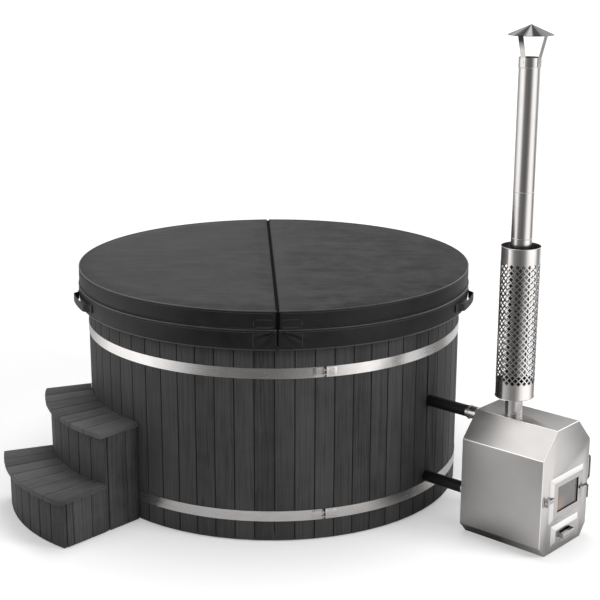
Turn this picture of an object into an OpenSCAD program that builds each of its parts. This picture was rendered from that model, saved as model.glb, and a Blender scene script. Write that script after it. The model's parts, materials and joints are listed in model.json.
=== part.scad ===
// Round wooden hot tub with a folding cover, a two-tread step unit and an outside wood-fired stove.
// The origin is on the floor under the tub's axis, +Z is up and the cover splits along Y.

/* [Tub wall] */
// Radius of the stave wall over its flat faces
tub_r = 1000; // [900:10:1100]
// Number of staves round the wall
stave_count = 64; // [48:4:80]
// Thickness of a stave
stave_t = 28; // [22:1:34]
// Bevel along the two outer edges of a stave
stave_bevel = 2.5; // [1:0.5:4]
// Gap between two staves
stave_gap = 0.6; // [0.2:0.1:2]
// Height of the staves' lower ends above the floor
stave_foot_z = 6; // [2:1:12]
// Height of the staves' upper ends above the floor
stave_top_z = 1060; // [960:10:1160]

/* [Bands and clasps] */
// Width of a steel band
band_w = 53; // [40:1:60]
// Thickness of a steel band
band_t = 1.2; // [0.8:0.1:2]
// Height of the lower edge of the upper band
upper_band_z = 843; // [780:1:880]
// Height of the lower edge of the lower band
lower_band_z = 108; // [90:1:120]
// Direction of the clasps from the tub's axis
clasp_angle = -76; // [-88:1:-64]
// Length of one clasp plate along the band
clasp_plate_w = 56; // [44:1:70]
// Height of a clasp plate
clasp_plate_h = 45; // [30:1:50]
// Height of a clasp's folded lip off its plate
clasp_lip_h = 11; // [7:1:16]

/* [Liner] */
// Thickness of the moulded liner
liner_t = 8; // [5:1:12]
// From the tub's outside to the liner's inside at its rim
liner_inset = 70; // [65:5:160]
// From the tub's outside to the liner's inside where the seat meets the wall
seat_back_inset = 105; // [75:5:200]
// Radius of the seat's front edge
seat_edge_r = 545; // [450:5:620]
// Radius of the foot well at its floor
foot_well_r = 505; // [380:5:530]
// Height of the seat above the ground
seat_z = 500; // [420:5:500]
// Rounding of the liner's corners
liner_round = 40; // [20:2:60]
// Thickness of the insulation behind the staves
insulation_t = 20; // [10:1:26]

/* [Base] */
// Height of the base joists
joist_h = 44; // [38:1:60]
// Width of a base joist
joist_w = 70; // [45:1:90]
// Distance between two joists
joist_pitch = 280; // [240:5:300]
// Thickness of the floor boards
floor_board_t = 28; // [18:1:40]
// Width of a floor board
floor_board_w = 118; // [90:1:145]

/* [Rim] */
// Thickness of the rim boards
rim_t = 28; // [20:1:40]
// How far the rim boards stand out over the staves
rim_overhang = 6; // [4:1:16]
// Width of the rim boards
rim_w = 104; // [87:1:150]
// Number of rim boards
rim_count = 16; // [12:1:24]

/* [Cover] */
// How far the cover stands out over the staves
cover_overhang = 46; // [42:1:80]
// Thickness of the padded panel at its edge
cover_t = 95; // [70:1:120]
// Crown of the panel in the middle
cover_crown = 6; // [2:1:12]
// Drop of the skirt below the panel
skirt_drop = 99; // [60:1:130]
// Thickness of the skirt
skirt_t = 6; // [4:1:10]
// Thickness of the panel's skin
skin_t = 3; // [2:0.5:5]
// Gap between the two halves
split_gap = 8; // [4:1:14]
// Distance of the split from the cover's middle, towards the right half
split_shift = -11; // [-20:1:20]
// Turn of the cover on the tub
cover_turn = 1.5; // [-3:0.1:3]
// Radius of the piping along the seams
piping_r = 4; // [2:0.5:6]
// Direction of a handle, from the X axis towards the front
handle_angle = 19.3; // [12:0.1:40]
// Angle that a handle spans
handle_span = 16; // [10:0.5:22]
// Distance that a handle bows out
handle_bow = 27; // [18:1:40]
// Height of the handle webbing
handle_h = 40; // [24:1:50]

/* [Steps] */
// Direction of the step unit's front side
step_angle = -133.4; // [-150:0.2:-115]
// Angle between the front side and the rear side
step_wedge = 26.3; // [20:0.5:32]
// Height of the lower tread's top
lower_tread_z = 261; // [200:1:300]
// Height of the upper tread's top
upper_tread_z = 529; // [480:1:620]
// Thickness of the treads
tread_t = 26; // [18:1:36]
// Overhang of a tread over its riser
nose_over = 27; // [10:1:40]
// Overhang of a tread over the sides
side_over = 8; // [3:1:20]
// Radius of the lower riser
lower_riser_r = 962; // [930:2:1000]
// Radius of the upper riser
upper_riser_r = 895; // [870:2:920]
// From the tub's outside in to the lower riser's centre
lower_riser_back = 473; // [450:1:500]
// From the tub's outside in to the upper riser's centre
upper_riser_back = 671; // [655:1:690]
// Number of planks on a tread
tread_planks = 7; // [5:1:9]
// Number of boards on a riser
riser_boards = 8; // [6:1:10]
// Width of a side board
side_board_w = 115; // [100:1:125]
// Thickness of the riser and side boards
step_board_t = 19; // [14:1:24]

/* [Stove] */
// From the tub's outside to the stove's rear
stove_clear = 309; // [280:1:400]
// Direction of the stove's rear from the tub's axis
stove_place_angle = -35.37; // [-37:0.1:-33]
// Direction in which the stove's door faces
stove_turn = -42.86; // [-46:0.1:-40]
// Length of the stove
stove_l = 461; // [430:1:560]
// Width of the stove
stove_w = 426; // [410:1:480]
// Height of the stove
stove_h = 627; // [610:1:700]
// Width of the stove's flat top
stove_top_w = 196; // [180:1:240]
// Width of the stove's flat bottom
stove_base_w = 326; // [300:1:380]
// Height of the stove's upright sides' upper edge
shoulder_z = 504; // [495:1:520]
// Height of the stove's upright sides' lower edge
heel_z = 56; // [30:1:80]
// Thickness of the stove's casing
casing_t = 3; // [2:0.5:5]

/* [Door and ash drawer] */
// Width of the door
door_w = 307; // [280:1:320]
// Height of the door
door_h = 234; // [220:1:245]
// Height of the door's lower edge
door_z = 156; // [152:1:162]
// Offset of the door's middle from the stove's middle
door_shift = 7.5; // [0:0.5:12]
// Depth of the pressed door
door_d = 14; // [11:1:20]
// Width of the bevel along the door's edges
door_bevel = 24; // [16:1:28]
// Width of the window
window_w = 187; // [150:1:200]
// Height of the window
window_h = 130; // [100:1:140]
// Height of the window's lower edge
window_z = 211; // [206:1:218]
// Width of the drawer's front
drawer_w = 249; // [220:1:262]
// Height of the drawer's front
drawer_h = 107; // [90:1:110]
// Height of the drawer's lower edge
drawer_z = 34; // [28:1:40]

/* [Flue] */
// Distance of the flue's axis from the stove's rear
flue_x = 174; // [150:1:240]
// Offset of the flue's axis from the stove's middle
flue_y = -40; // [-45:1:30]
// Radius of the flue socket
socket_r = 42; // [36:1:46]
// Radius of the flue pipe
pipe_r = 50; // [48:1:60]
// Wall thickness of the flue pipes
pipe_t = 1.2; // [0.8:0.1:2]
// Height of the socket's joint above the stove
socket_h = 23; // [15:1:40]
// Height of the first pipe joint
first_joint_z = 1508; // [1490:1:1560]
// Height of the second pipe joint
second_joint_z = 1730; // [1650:1:1900]
// Height of the flue pipe's top
pipe_top_z = 2352; // [2200:1:2500]

/* [Heat guard] */
// Radius of the heat guard
guard_r = 93.5; // [85:0.5:110]
// Thickness of the heat guard
guard_t = 1.5; // [1:0.1:2.5]
// Height of the guard's lower edge
guard_z = 724; // [700:1:760]
// Height of the guard
guard_h = 748; // [700:1:760]
// Plain band at the guard's lower edge, to the middle of the first holes
guard_plain = 80; // [50:1:110]
// Number of holes round the guard
hole_columns = 14; // [10:1:16]
// Distance between two staggered rows of holes
hole_row_pitch = 21; // [21:0.5:30]
// Width of a square hole along its diagonal
hole_diagonal = 24; // [14:0.5:26]

/* [Rain cap] */
// Radius of the rain cap
cap_r = 105; // [95:1:125]
// Height of the cap's cone
cap_h = 46; // [30:1:70]
// Gap from the pipe's top to the cap's rim
cap_gap = 102; // [70:1:130]

/* [Hoses] */
// Outside radius of a hose
hose_r = 29; // [26:0.5:31]
// Bore radius of a hose
hose_bore_r = 21.5; // [18:0.5:23]
// Height of the upper hose
upper_hose_z = 598; // [585:1:598]
// Height of the lower hose
lower_hose_z = 192; // [192:1:230]
// Offset of the upper hose from the stove's middle
upper_hose_y = -85; // [-90:1:-60]
// Offset of the lower hose from the stove's middle
lower_hose_y = -100; // [-110:1:-60]

/* [Hidden] */
$fn = 96;

// Clearances shared by the whole tub
overrun = 5;          // how far a cut runs past what it cuts
seat_gap = 0.3;       // between pieces that rest on or in each other
running_gap = 0.05;   // between a pin and the hole that turns on it
slip_gap = 1;         // between a pushed-in piece and its housing
half_turn = 180;

// Wall and bands
stave_pitch = 360 / stave_count;
stave_half_w = tub_r * tan(stave_pitch / 2) - stave_gap / 2;
stave_face_half_w = stave_half_w - stave_bevel;
wall_out_r = norm([tub_r, stave_face_half_w]);
wall_in_r = tub_r - stave_t;
band_in_r = wall_out_r + seat_gap;
band_out_r = band_in_r + band_t;
band_split = 16;      // gap between the two ends of a band, under the clasp
clasp_t = 2;
clasp_lip_gap = 8;    // between the two lips of a clasp
clasp_in_r = band_out_r;
clasp_out_r = clasp_in_r + clasp_t;
rivet_r = 3.2;
rivet_head_h = 1.6;
rivet_inset = 11;     // from the edges of a clasp plate
clasp_bolt_r = 3;
clasp_bolt_head_r = 5;
clasp_bolt_head_h = 4;

// Height stack from the ground to the cover
floor_top_z = joist_h + floor_board_t;
liner_floor_z = floor_top_z + seat_gap + liner_t;
flange_z = stave_top_z + seat_gap;
flange_top_z = flange_z + liner_t;
rim_z = flange_top_z + seat_gap;
rim_top_z = rim_z + rim_t;
cover_under_z = rim_top_z + seat_gap;
cover_edge_z = cover_under_z + cover_t;
cover_top_z = cover_edge_z + cover_crown;
hem_z = cover_under_z - skirt_drop;
fold_axis_z = cover_top_z + 2 * seat_gap;

// Liner, insulation and base
liner_top_r = tub_r - liner_inset;
seat_back_r = tub_r - seat_back_inset;
flange_r = tub_r - stave_t / 2;
insulation_out_r = wall_in_r - seat_gap;
insulation_in_r = insulation_out_r - insulation_t;
floor_r = wall_in_r - seat_gap;
floor_board_gap = 3;
base_r = wall_in_r - joist_w;
support_t = 18;
support_count = 12;
support_first_angle = 7;
support_in_r = seat_edge_r + liner_round / 2 + seat_gap;
support_out_r = seat_back_r - liner_round;
drain_x = joist_pitch / 2;
drain_z = joist_h / 2;
drain_r = 16;
drain_t = 2.5;
drain_flange_r = 45;
drain_flange_t = 3;
drain_slot_w = 5;
drain_slot_pitch = 10;
drain_reach = 60;     // how far the pipe stands out behind the wall
drain_y = sqrt(tub_r * tub_r - drain_x * drain_x);
drain_cap_l = 26;
drain_cap_t = 4;

// Rim
rim_outer_r = tub_r + rim_overhang;
rim_inner_r = rim_outer_r - rim_w;
rim_pitch = 360 / rim_count;
rim_joint = 1.5;      // gap between two rim boards
rim_round = 6;

// Cover
cover_r = tub_r + cover_overhang;
cover_core_r = cover_r - skin_t - seat_gap;
cover_corner_r = 14;  // width of the rounded upper edge
cover_round = cover_corner_r / 2;
crown_steps = 8;
hinge_h = 14;
hinge_t = split_gap - 2 * seat_gap;
handle_t = 4;
handle_drop = 28;     // from the panel's lower seam to the webbing
handle_tab = 20;      // sewn length at each end of a handle
handle_points = 20;
handle_z = cover_under_z - handle_drop - handle_h;

// Steps: the front side lies along local +X, and the unit spreads towards -Y
step_foot_z = 4;
step_gap = 1;         // gap between boards
step_bevel = 2;
riser_y = -108;       // offset of both risers' centres from the front side
lower_riser_x = tub_r - lower_riser_back;
upper_riser_x = tub_r - upper_riser_back;
lower_apex_run = 700; // from a box's riser centre back to where its two sides would meet
upper_apex_run = 841;
lower_apex_x = lower_riser_x - lower_apex_run;
upper_apex_x = upper_riser_x - upper_apex_run;
side_seam_out = 79;    // from the tub to the first seam of the near side
first_side_seam = tub_r + side_seam_out;
lower_centre = [lower_riser_x, riser_y];
upper_centre = [upper_riser_x, riser_y];
former_t = 18;
former_w = 70;
step_back_r = wall_out_r + slip_gap;
step_back_board_r = band_out_r + slip_gap;
step_reach = lower_riser_x + 2 * lower_riser_r;

// Stove outline, across and up
stove_place_r = tub_r + stove_clear;
stove_x = stove_place_r * cos(stove_place_angle);
stove_y = stove_place_r * sin(stove_place_angle);
stove_points = [
    [-stove_base_w / 2, 0], [stove_base_w / 2, 0],
    [stove_w / 2, heel_z], [stove_w / 2, shoulder_z],
    [stove_top_w / 2, stove_h], [-stove_top_w / 2, stove_h],
    [-stove_w / 2, shoulder_z], [-stove_w / 2, heel_z]
];
firebox_t = 4;
firebox_w = 300;
firebox_z = drawer_z + drawer_h + slip_gap;
firebox_top_z = shoulder_z - firebox_t;
firebox_rear_x = 14;
firebox_front_x = stove_l - casing_t - seat_gap;
grate_h = 12;
grate_bar_w = 9;
grate_gap = 11;
grate_bars = 10;
grate_w = grate_bars * grate_bar_w + (grate_bars - 1) * grate_gap;
grate_l = 300;
grate_ledge = 12;     // how far the grate lies on the firebox floor
door_lip = 30;        // how far the door laps the casing round the opening
drawer_lip = 9;       // how far the drawer's front laps the casing
housing_t = 2;
drawer_t = 2;
drawer_depth = 330;
drawer_side_h = 60;
drawer_travel = 300;
air_slot_w = 96;
air_slot_h = 16;
pull_t = 2.5;
pull_h = 24;
pull_w = 104;
pull_out = 26;
pull_z = drawer_z + drawer_h / 2;
pull_shift = -18;     // the pull's middle from the door's middle

// Door pieces
door_back_x = stove_l + seat_gap;
door_front_x = door_back_x + door_d;
door_sheet_t = 2;
glass_t = 4;
glass_lap = 9;
gasket_t = 3;
window_shift = -1;    // the window's middle from the door's middle
seal_w = 8;
seal_inset = 8;       // from the casing's opening to the seal
hinge_y = -178.5;
hinge_x = stove_l + 15;
hinge_r = 7;
hinge_pin_r = 4;
hinge_z = 267;
hinge_h_all = 42;
knuckle_share = 0.26;
hinge_plate_t = 3;
hinge_plate_w = 22;
hinge_strap_l = 60;
latch_y = 113;
latch_z = 283;
latch_stud_r = 4;
latch_hub_r = 9;
latch_t = 5;
latch_arm_l = 64;
latch_arm_h = 10;
latch_grip_y = 46;
latch_grip_r = 4;
latch_grip_l = 62;
latch_grip_out = 13;
latch_x = door_front_x + 2 * seat_gap;
stud_head_r = 6.5;
stud_head_h = 3;
keeper_w = 12;
keeper_t = 3;
keeper_foot = 16;
keeper_y = door_shift + door_w / 2 + 4;
side_handle_x = 435;
side_handle_z = 332;
side_handle_half = 62;
side_handle_out = 58;
side_handle_r = 5;
side_handle_round = 20;
side_handle_foot_r = 10;
side_handle_foot_t = 3;

// Flue
bead_r = 2;
bead_share = 0.6;
sleeve_l = 40;        // how far a pipe's lower end slips into the one below
reducer_z = guard_z + 60;
reducer_h = 45;
collar_h = 46;
collar_t = 1.5;
strap_w = 27;
strap_t = 1.5;
strap_foot = collar_h - 2 * bead_r - slip_gap;
strap_top_r = 80;
strap_turns = [-36, 57, 216];
cap_t = 1.2;
cap_hem_r = 1.6;
cap_drop = cap_t * norm([cap_r, cap_h]) / cap_r;
guard_bracket_w = 18;
guard_bracket_t = 2;
guard_bracket_inset = 34;
guard_bracket_first = 30;
guard_bracket_count = 3;
guard_rows = floor((guard_h - 2 * guard_plain) / hole_row_pitch) + 1;
guard_first_z = guard_z + (guard_h - (guard_rows - 1) * hole_row_pitch) / 2;
guard_tab_h = 20;
face_view = 259.8;    // direction from the flue to the front of the whole tub
cap_rim_z = pipe_top_z + cap_gap;

// Hoses
hose_wall_gap = 0.4;
hose_end_x = -6;
socket_l = 48;
socket_t = 2.5;
clamp_w = 12;
clamp_t = 2;
clamp_lug = 9;
wall_pipe_t = 2.5;
wall_pipe_r = hose_bore_r - seat_gap;
wall_pipe_reach = 70; // length of wall pipe inside the hose
wall_nut_r = 34;
wall_nut_t = 10;
inlet_cover_r = 55;
inlet_cover_h = 14;
inlet_slot_w = 6;
inlet_slot_pitch = 13;
inlet_gap = seat_gap;

// Unit vector along v
function unit(v) = v / norm(v);

// Points of a round corner at b, between the lines to a and to c
function corner(a, b, c, r, steps = 5) =
    let (
        u = unit(a - b),
        w = unit(c - b),
        half = acos(u * w) / 2,
        centre = b + unit(u + w) * r / sin(half),
        start = b + u * r / tan(half) - centre,
        end = b + w * r / tan(half) - centre,
        from = atan2(start[1], start[0]),
        turn = (atan2(end[1], end[0]) - from + 3 * half_turn) % (2 * half_turn) - half_turn
    )
    [for (i = [0 : steps]) centre + r * [cos(from + turn * i / steps), sin(from + turn * i / steps)]];

// An outline, listed counterclockwise, moved inwards by t on every side
function inset(points, t) =
    let (n = len(points))
    [for (i = [0 : n - 1])
        let (
            p = points[i],
            u = unit(p - points[(i + n - 1) % n]),
            w = unit(points[(i + 1) % n] - p),
            into = unit([-u[1] - w[1], u[0] + w[0]])
        )
        p + into * t / (into * [-u[1], u[0]])
    ];

// Inside radius of the liner at a height
function liner_r(z) = z > seat_z
    ? seat_back_r + (liner_top_r - seat_back_r) * (z - seat_z) / (flange_top_z - seat_z)
    : foot_well_r + (seat_edge_r - foot_well_r) * (z - liner_floor_z) / (seat_z - liner_floor_z);

// Where a hose's line, at an offset from the stove's middle, crosses a radius round the tub's axis
function hose_x(r, across) =
    let (
        along = stove_x * cos(stove_turn) + stove_y * sin(stove_turn),
        aside = stove_y * cos(stove_turn) - stove_x * sin(stove_turn) + across
    )
    sqrt(r * r - aside * aside) - along;

// The stove's own frame: X towards the door, Y across, Z up
module at_stove() {
    translate([stove_x, stove_y, 0]) rotate([0, 0, stove_turn]) children();
}

// A hose's own frame: Z runs along the hose towards the stove, from the stove's rear
module at_hose(across, z) {
    at_stove() translate([0, across, z]) rotate([0, 90, 0]) children();
}

module at_flue() {
    at_stove() translate([flue_x, flue_y, 0]) children();
}

module at_steps() {
    rotate([0, 0, step_angle]) children();
}

module tube(r, bore, h) {
    difference() {
        cylinder(r = r, h = h);
        translate([0, 0, -overrun]) cylinder(r = bore, h = h + 2 * overrun);
    }
}

module box(from, to) {
    translate(from) cube(to - from);
}

// Plan of a flat board that is one side of a round wall, with bevelled outer edges
module board_plan(face_r, pitch, t, gap, bevel) {
    half = face_r * tan(pitch / 2) - gap / 2;
    inner = (face_r - t) * tan(pitch / 2) - gap / 2;
    polygon([
        [face_r - t, -inner], [face_r - bevel, -half], [face_r, bevel - half],
        [face_r, half - bevel], [face_r - bevel, half], [face_r - t, inner]
    ]);
}

// Staves and bands
module hose_holes(r) {
    at_hose(upper_hose_y, upper_hose_z)
        translate([0, 0, hose_x(seat_back_r, upper_hose_y) - liner_round])
            cylinder(r = r, h = tub_r - seat_back_r + 2 * liner_round);
    at_hose(lower_hose_y, lower_hose_z)
        translate([0, 0, hose_x(seat_edge_r, lower_hose_y) - 2 * liner_round])
            cylinder(r = r, h = tub_r - seat_edge_r + 4 * liner_round);
}

module drain_notch() {
    translate([drain_x, 0, drain_z]) rotate([-90, 0, 0])
        cylinder(r = drain_r + slip_gap, h = tub_r + overrun);
    translate([drain_x - drain_r - slip_gap, 0, -overrun])
        cube([2 * (drain_r + slip_gap), tub_r + overrun, drain_z + overrun]);
}

module wall_staves() {
    color("dimgray") difference() {
        for (i = [0 : stave_count - 1])
            rotate([0, 0, (i + 0.5) * stave_pitch - 90])
                translate([0, 0, stave_foot_z])
                    linear_extrude(stave_top_z - stave_foot_z)
                        board_plan(tub_r, stave_pitch, stave_t, stave_gap, stave_bevel);
        hose_holes(wall_pipe_r + seat_gap);
        drain_notch();
    }
}

module band(z) {
    opening = band_split / band_in_r * 180 / PI;
    translate([0, 0, z]) rotate([0, 0, clasp_angle + opening / 2])
        rotate_extrude(angle = 360 - opening, $fn = 180)
            translate([band_in_r, 0]) square([band_t, band_w]);
}

module tub_bands() {
    color("gainsboro") {
        band(upper_band_z);
        band(lower_band_z);
    }
}

// One clasp half: a curved plate on the band with its end folded outwards
module clasp_half(side) {
    plate = clasp_plate_w / clasp_in_r * 180 / PI;
    lip = clasp_t / clasp_in_r * 180 / PI;
    near = clasp_lip_gap / 2 / clasp_in_r * 180 / PI;
    rotate([0, 0, side > 0 ? near : -near - plate])
        rotate_extrude(angle = plate, $fn = 180)
            translate([clasp_in_r, 0]) square([clasp_t, clasp_plate_h]);
    rotate([0, 0, side > 0 ? near : -near - lip])
        rotate_extrude(angle = lip, $fn = 180)
            translate([clasp_in_r, 0]) square([clasp_t + clasp_lip_h, clasp_plate_h]);
}

module at_clasp(z) {
    translate([0, 0, z + (band_w - clasp_plate_h) / 2]) rotate([0, 0, clasp_angle]) children();
}

module clasp_bolt_holes() {
    for (share = [0.25, 0.75])
        translate([clasp_out_r + clasp_lip_h / 2, 0, clasp_plate_h * share])
            rotate([90, 0, 0]) cylinder(r = clasp_bolt_r + seat_gap, h = clasp_plate_w, center = true);
}

module band_clasps() {
    color("silver") for (z = [lower_band_z, upper_band_z]) at_clasp(z)
        difference() {
            union() {
                clasp_half(1);
                clasp_half(-1);
            }
            clasp_bolt_holes();
        }
}

module clasp_bolts() {
    reach = clasp_lip_gap / 2 + clasp_t + seat_gap;
    color("gray") for (z = [lower_band_z, upper_band_z]) at_clasp(z)
        for (share = [0.25, 0.75])
            translate([clasp_out_r + clasp_lip_h / 2, 0, clasp_plate_h * share])
                rotate([90, 0, 0]) {
                    cylinder(r = clasp_bolt_r, h = 2 * reach, center = true, $fn = 24);
                    for (side = [0, 1]) mirror([0, 0, side])
                        translate([0, 0, reach])
                            cylinder(r = clasp_bolt_head_r, h = clasp_bolt_head_h, $fn = 6);
                }
}

module steel_rivets() {
    color("silver") {
        for (z = [lower_band_z, upper_band_z], side = [-1, 1]) at_clasp(z)
            for (h = [rivet_inset, clasp_plate_h - rivet_inset])
                rotate([0, 0, side * (clasp_plate_w - rivet_inset) / clasp_out_r * 180 / PI])
                    translate([clasp_out_r, 0, h]) rotate([0, 90, 0])
                        cylinder(r = rivet_r, h = rivet_head_h, $fn = 24);
        at_flue() for (turn = strap_turns)
            rotate([0, 0, face_view - stove_turn + turn])
                translate([pipe_r + 2 * seat_gap + collar_t + strap_t, 0, pipe_top_z - strap_foot / 2])
                    rotate([0, 90, 0]) cylinder(r = rivet_r, h = rivet_head_h, $fn = 24);
    }
}

// Rim, liner and what lies behind them
module rim_boards() {
    joint = rim_joint / rim_inner_r * 180 / PI;
    profile = concat(
        [[rim_inner_r, 0]],
        [[rim_outer_r, 0]],
        corner([rim_outer_r, 0], [rim_outer_r, rim_t], [rim_inner_r, rim_t], rim_round, 3),
        corner([rim_outer_r, rim_t], [rim_inner_r, rim_t], [rim_inner_r, 0], rim_round, 3)
    );
    color("dimgray") for (i = [0 : rim_count - 1])
        translate([0, 0, rim_z]) rotate([0, 0, i * rim_pitch])
            rotate_extrude(angle = rim_pitch - joint, $fn = 180) polygon(profile);
}

// Half section of the liner's floor, foot well and seat: its inside from the middle to the seat's
// rear edge, then back along its underside
function liner_profile() =
    let (
        a = [0, liner_floor_z],
        b = [foot_well_r, liner_floor_z],
        c = [seat_edge_r, seat_z],
        d = [seat_back_r + liner_t, seat_z],
        out = [liner_t, -liner_t],
        edge = liner_round / 2
    )
    concat(
        [a],
        corner(a, b, c, liner_round),
        corner(b, c, d, edge),
        [d, d - [0, liner_t]],
        corner(d - [0, liner_t], c + out, b + out, edge - liner_t),
        corner(c + out, b + out, a - [0, liner_t], liner_round + liner_t),
        [a - [0, liner_t]]
    );

// Half section of the liner's upper wall, which is welded to the seat's rear edge, and of its flange
function liner_wall_profile() =
    let (
        foot = seat_z + seat_gap,
        d = [liner_r(foot), foot],
        e = [liner_top_r, flange_top_z],
        f = [flange_r, flange_top_z]
    )
    [d, e, f, f - [0, liner_t], e + [liner_t, -liner_t], d + [liner_t, 0]];

module liner() {
    color("lightgray") difference() {
        rotate_extrude($fn = 180) polygon(liner_profile());
        hose_holes(wall_pipe_r + seat_gap);
        translate([drain_x, 0, liner_floor_z - liner_t - overrun])
            cylinder(r = drain_r + slip_gap, h = liner_t + 2 * overrun);
    }
}

module liner_wall() {
    color("lightgray") difference() {
        rotate_extrude($fn = 180) polygon(liner_wall_profile());
        hose_holes(wall_pipe_r + seat_gap);
    }
}

module wall_insulation() {
    color("khaki") difference() {
        translate([0, 0, floor_top_z]) tube(insulation_out_r, insulation_in_r, stave_top_z - floor_top_z);
        hose_holes(wall_pipe_r + slip_gap);
    }
}

module bench_supports() {
    top = seat_z - liner_t - seat_gap;
    color("burlywood") for (i = [0 : support_count - 1])
        rotate([0, 0, support_first_angle + i * 360 / support_count])
            translate([support_in_r, -support_t / 2, floor_top_z])
                cube([support_out_r - support_in_r, support_t, top - floor_top_z]);
}

module floor_boards() {
    rows = ceil(2 * floor_r / floor_board_w);
    color("burlywood") difference() {
        for (i = [0 : rows - 1]) intersection() {
            translate([0, 0, joist_h]) cylinder(r = floor_r, h = floor_board_t, $fn = 180);
            translate([-floor_r, (i - rows / 2) * floor_board_w + floor_board_gap / 2, joist_h])
                cube([2 * floor_r, floor_board_w - floor_board_gap, floor_board_t]);
        }
        translate([drain_x, 0, joist_h - overrun])
            cylinder(r = drain_r + slip_gap, h = floor_board_t + 2 * overrun);
    }
}

module base_joists() {
    side_joists = floor((base_r - joist_w) / joist_pitch);
    color("burlywood") for (i = [-side_joists : side_joists]) {
        half = sqrt(base_r * base_r - pow(abs(i) * joist_pitch + joist_w / 2, 2));
        translate([i * joist_pitch - joist_w / 2, -half, 0]) cube([joist_w, 2 * half, joist_h]);
    }
}

module drain_strainer() {
    slots = floor(drain_flange_r / drain_slot_pitch) - 1;
    color("silver") translate([drain_x, 0, liner_floor_z]) difference() {
        cylinder(r1 = drain_flange_r, r2 = drain_flange_r - drain_flange_t, h = drain_flange_t);
        intersection() {
            for (i = [-slots : slots])
                translate([-drain_flange_r, i * drain_slot_pitch - drain_slot_w / 2, -overrun])
                    cube([2 * drain_flange_r, drain_slot_w, drain_flange_t + 2 * overrun]);
            translate([0, 0, -overrun])
                cylinder(r = drain_flange_r - 2 * drain_slot_w, h = drain_flange_t + 2 * overrun);
        }
    }
}

module drain_pipe() {
    down = liner_floor_z - drain_z;
    color("gray") translate([drain_x, 0, drain_z]) difference() {
        union() {
            cylinder(r = drain_r, h = down);
            sphere(r = drain_r);
            rotate([-90, 0, 0]) cylinder(r = drain_r, h = drain_y + drain_reach);
        }
        cylinder(r = drain_r - drain_t, h = down + overrun);
        sphere(r = drain_r - drain_t);
        rotate([-90, 0, 0]) cylinder(r = drain_r - drain_t, h = drain_y + drain_reach + overrun);
    }
}

module drain_cap() {
    color("silver") translate([drain_x, drain_y + drain_reach - drain_cap_l + drain_cap_t, drain_z])
        rotate([-90, 0, 0]) difference() {
            cylinder(r = drain_r + seat_gap + drain_cap_t, h = drain_cap_l, $fn = 8);
            translate([0, 0, -overrun])
                cylinder(r = drain_r + seat_gap, h = drain_cap_l - drain_cap_t + overrun + seat_gap);
        }
}

// Water pipes and hoses between the tub and the stove
module wall_pipe(across, z) {
    inside = hose_x(liner_r(z), across);
    wall = hose_x(wall_out_r, across);
    at_hose(across, z) translate([0, 0, inside])
        tube(wall_pipe_r, wall_pipe_r - wall_pipe_t, wall - inside + wall_pipe_reach);
    // The nut is clear of the liner's outside by the slope and turn of the wall
    at_hose(across, z) translate([0, 0, hose_x(liner_r(z) + liner_t, across) + wall_nut_t / 2])
        difference() {
            cylinder(r = wall_nut_r, h = wall_nut_t, $fn = 6);
            translate([0, 0, -overrun])
                cylinder(r = wall_pipe_r - wall_pipe_t, h = wall_nut_t + 2 * overrun);
        }
}

module wall_pipes() {
    color("silver") {
        wall_pipe(upper_hose_y, upper_hose_z);
        wall_pipe(lower_hose_y, lower_hose_z);
    }
}

module inlet_cover(across, z) {
    slots = floor(inlet_cover_r / inlet_slot_pitch) - 1;
    foot = inlet_cover_r - inlet_cover_h / 2;
    difference() {
        at_hose(across, z) translate([0, 0, hose_x(liner_r(z), across) - inlet_cover_h])
            difference() {
                cylinder(r1 = foot, r2 = inlet_cover_r, h = 2 * inlet_cover_h);
                translate([0, 0, wall_pipe_t])
                    cylinder(r1 = foot - wall_pipe_t, r2 = inlet_cover_r - wall_pipe_t,
                        h = 2 * inlet_cover_h);
                for (i = [-slots : slots])
                    translate([-inlet_cover_r / 2, i * inlet_slot_pitch - inlet_slot_w / 2, -overrun])
                        cube([inlet_cover_r, inlet_slot_w, 2 * overrun]);
            }
        // Everything behind the liner's inner face at the cover's lower edge
        difference() {
            translate([0, 0, liner_floor_z]) cylinder(r = tub_r, h = flange_top_z - liner_floor_z);
            translate([0, 0, liner_floor_z - overrun])
                cylinder(r = liner_r(z - inlet_cover_r) - inlet_gap, h = flange_top_z, $fn = 360);
        }
    }
}

module inlet_covers() {
    color("silver") {
        inlet_cover(upper_hose_y, upper_hose_z);
        inlet_cover(lower_hose_y, lower_hose_z);
    }
}

module hose(across, z) {
    start = hose_x(wall_out_r, across) + 2 * hose_wall_gap + hose_r * tan(asin(hose_r / tub_r));
    at_hose(across, z) translate([0, 0, start]) tube(hose_r, hose_bore_r, hose_end_x - start);
}

module upper_hose() {
    color("black") hose(upper_hose_y, upper_hose_z);
}

module lower_hose() {
    color("black") hose(lower_hose_y, lower_hose_z);
}

module hose_sockets() {
    bore = hose_r + seat_gap;
    color("silver") for (place = [[upper_hose_y, upper_hose_z], [lower_hose_y, lower_hose_z]])
        at_hose(place[0], place[1]) translate([0, 0, -socket_l]) {
            tube(bore + socket_t, bore, socket_l - seat_gap);
            tube(bore + 2 * socket_t, bore, socket_t);
        }
}

module hose_clamps() {
    bore = hose_r + seat_gap;
    color("gray") for (place = [[upper_hose_y, upper_hose_z], [lower_hose_y, lower_hose_z]])
        at_hose(place[0], place[1]) translate([0, 0, -socket_l - clamp_w - seat_gap])
            difference() {
                union() {
                    cylinder(r = bore + clamp_t, h = clamp_w);
                    translate([bore, -clamp_lug / 2, 0]) cube([clamp_lug, clamp_lug, clamp_w]);
                }
                translate([0, 0, -overrun]) cylinder(r = bore, h = clamp_w + 2 * overrun);
            }
}

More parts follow.
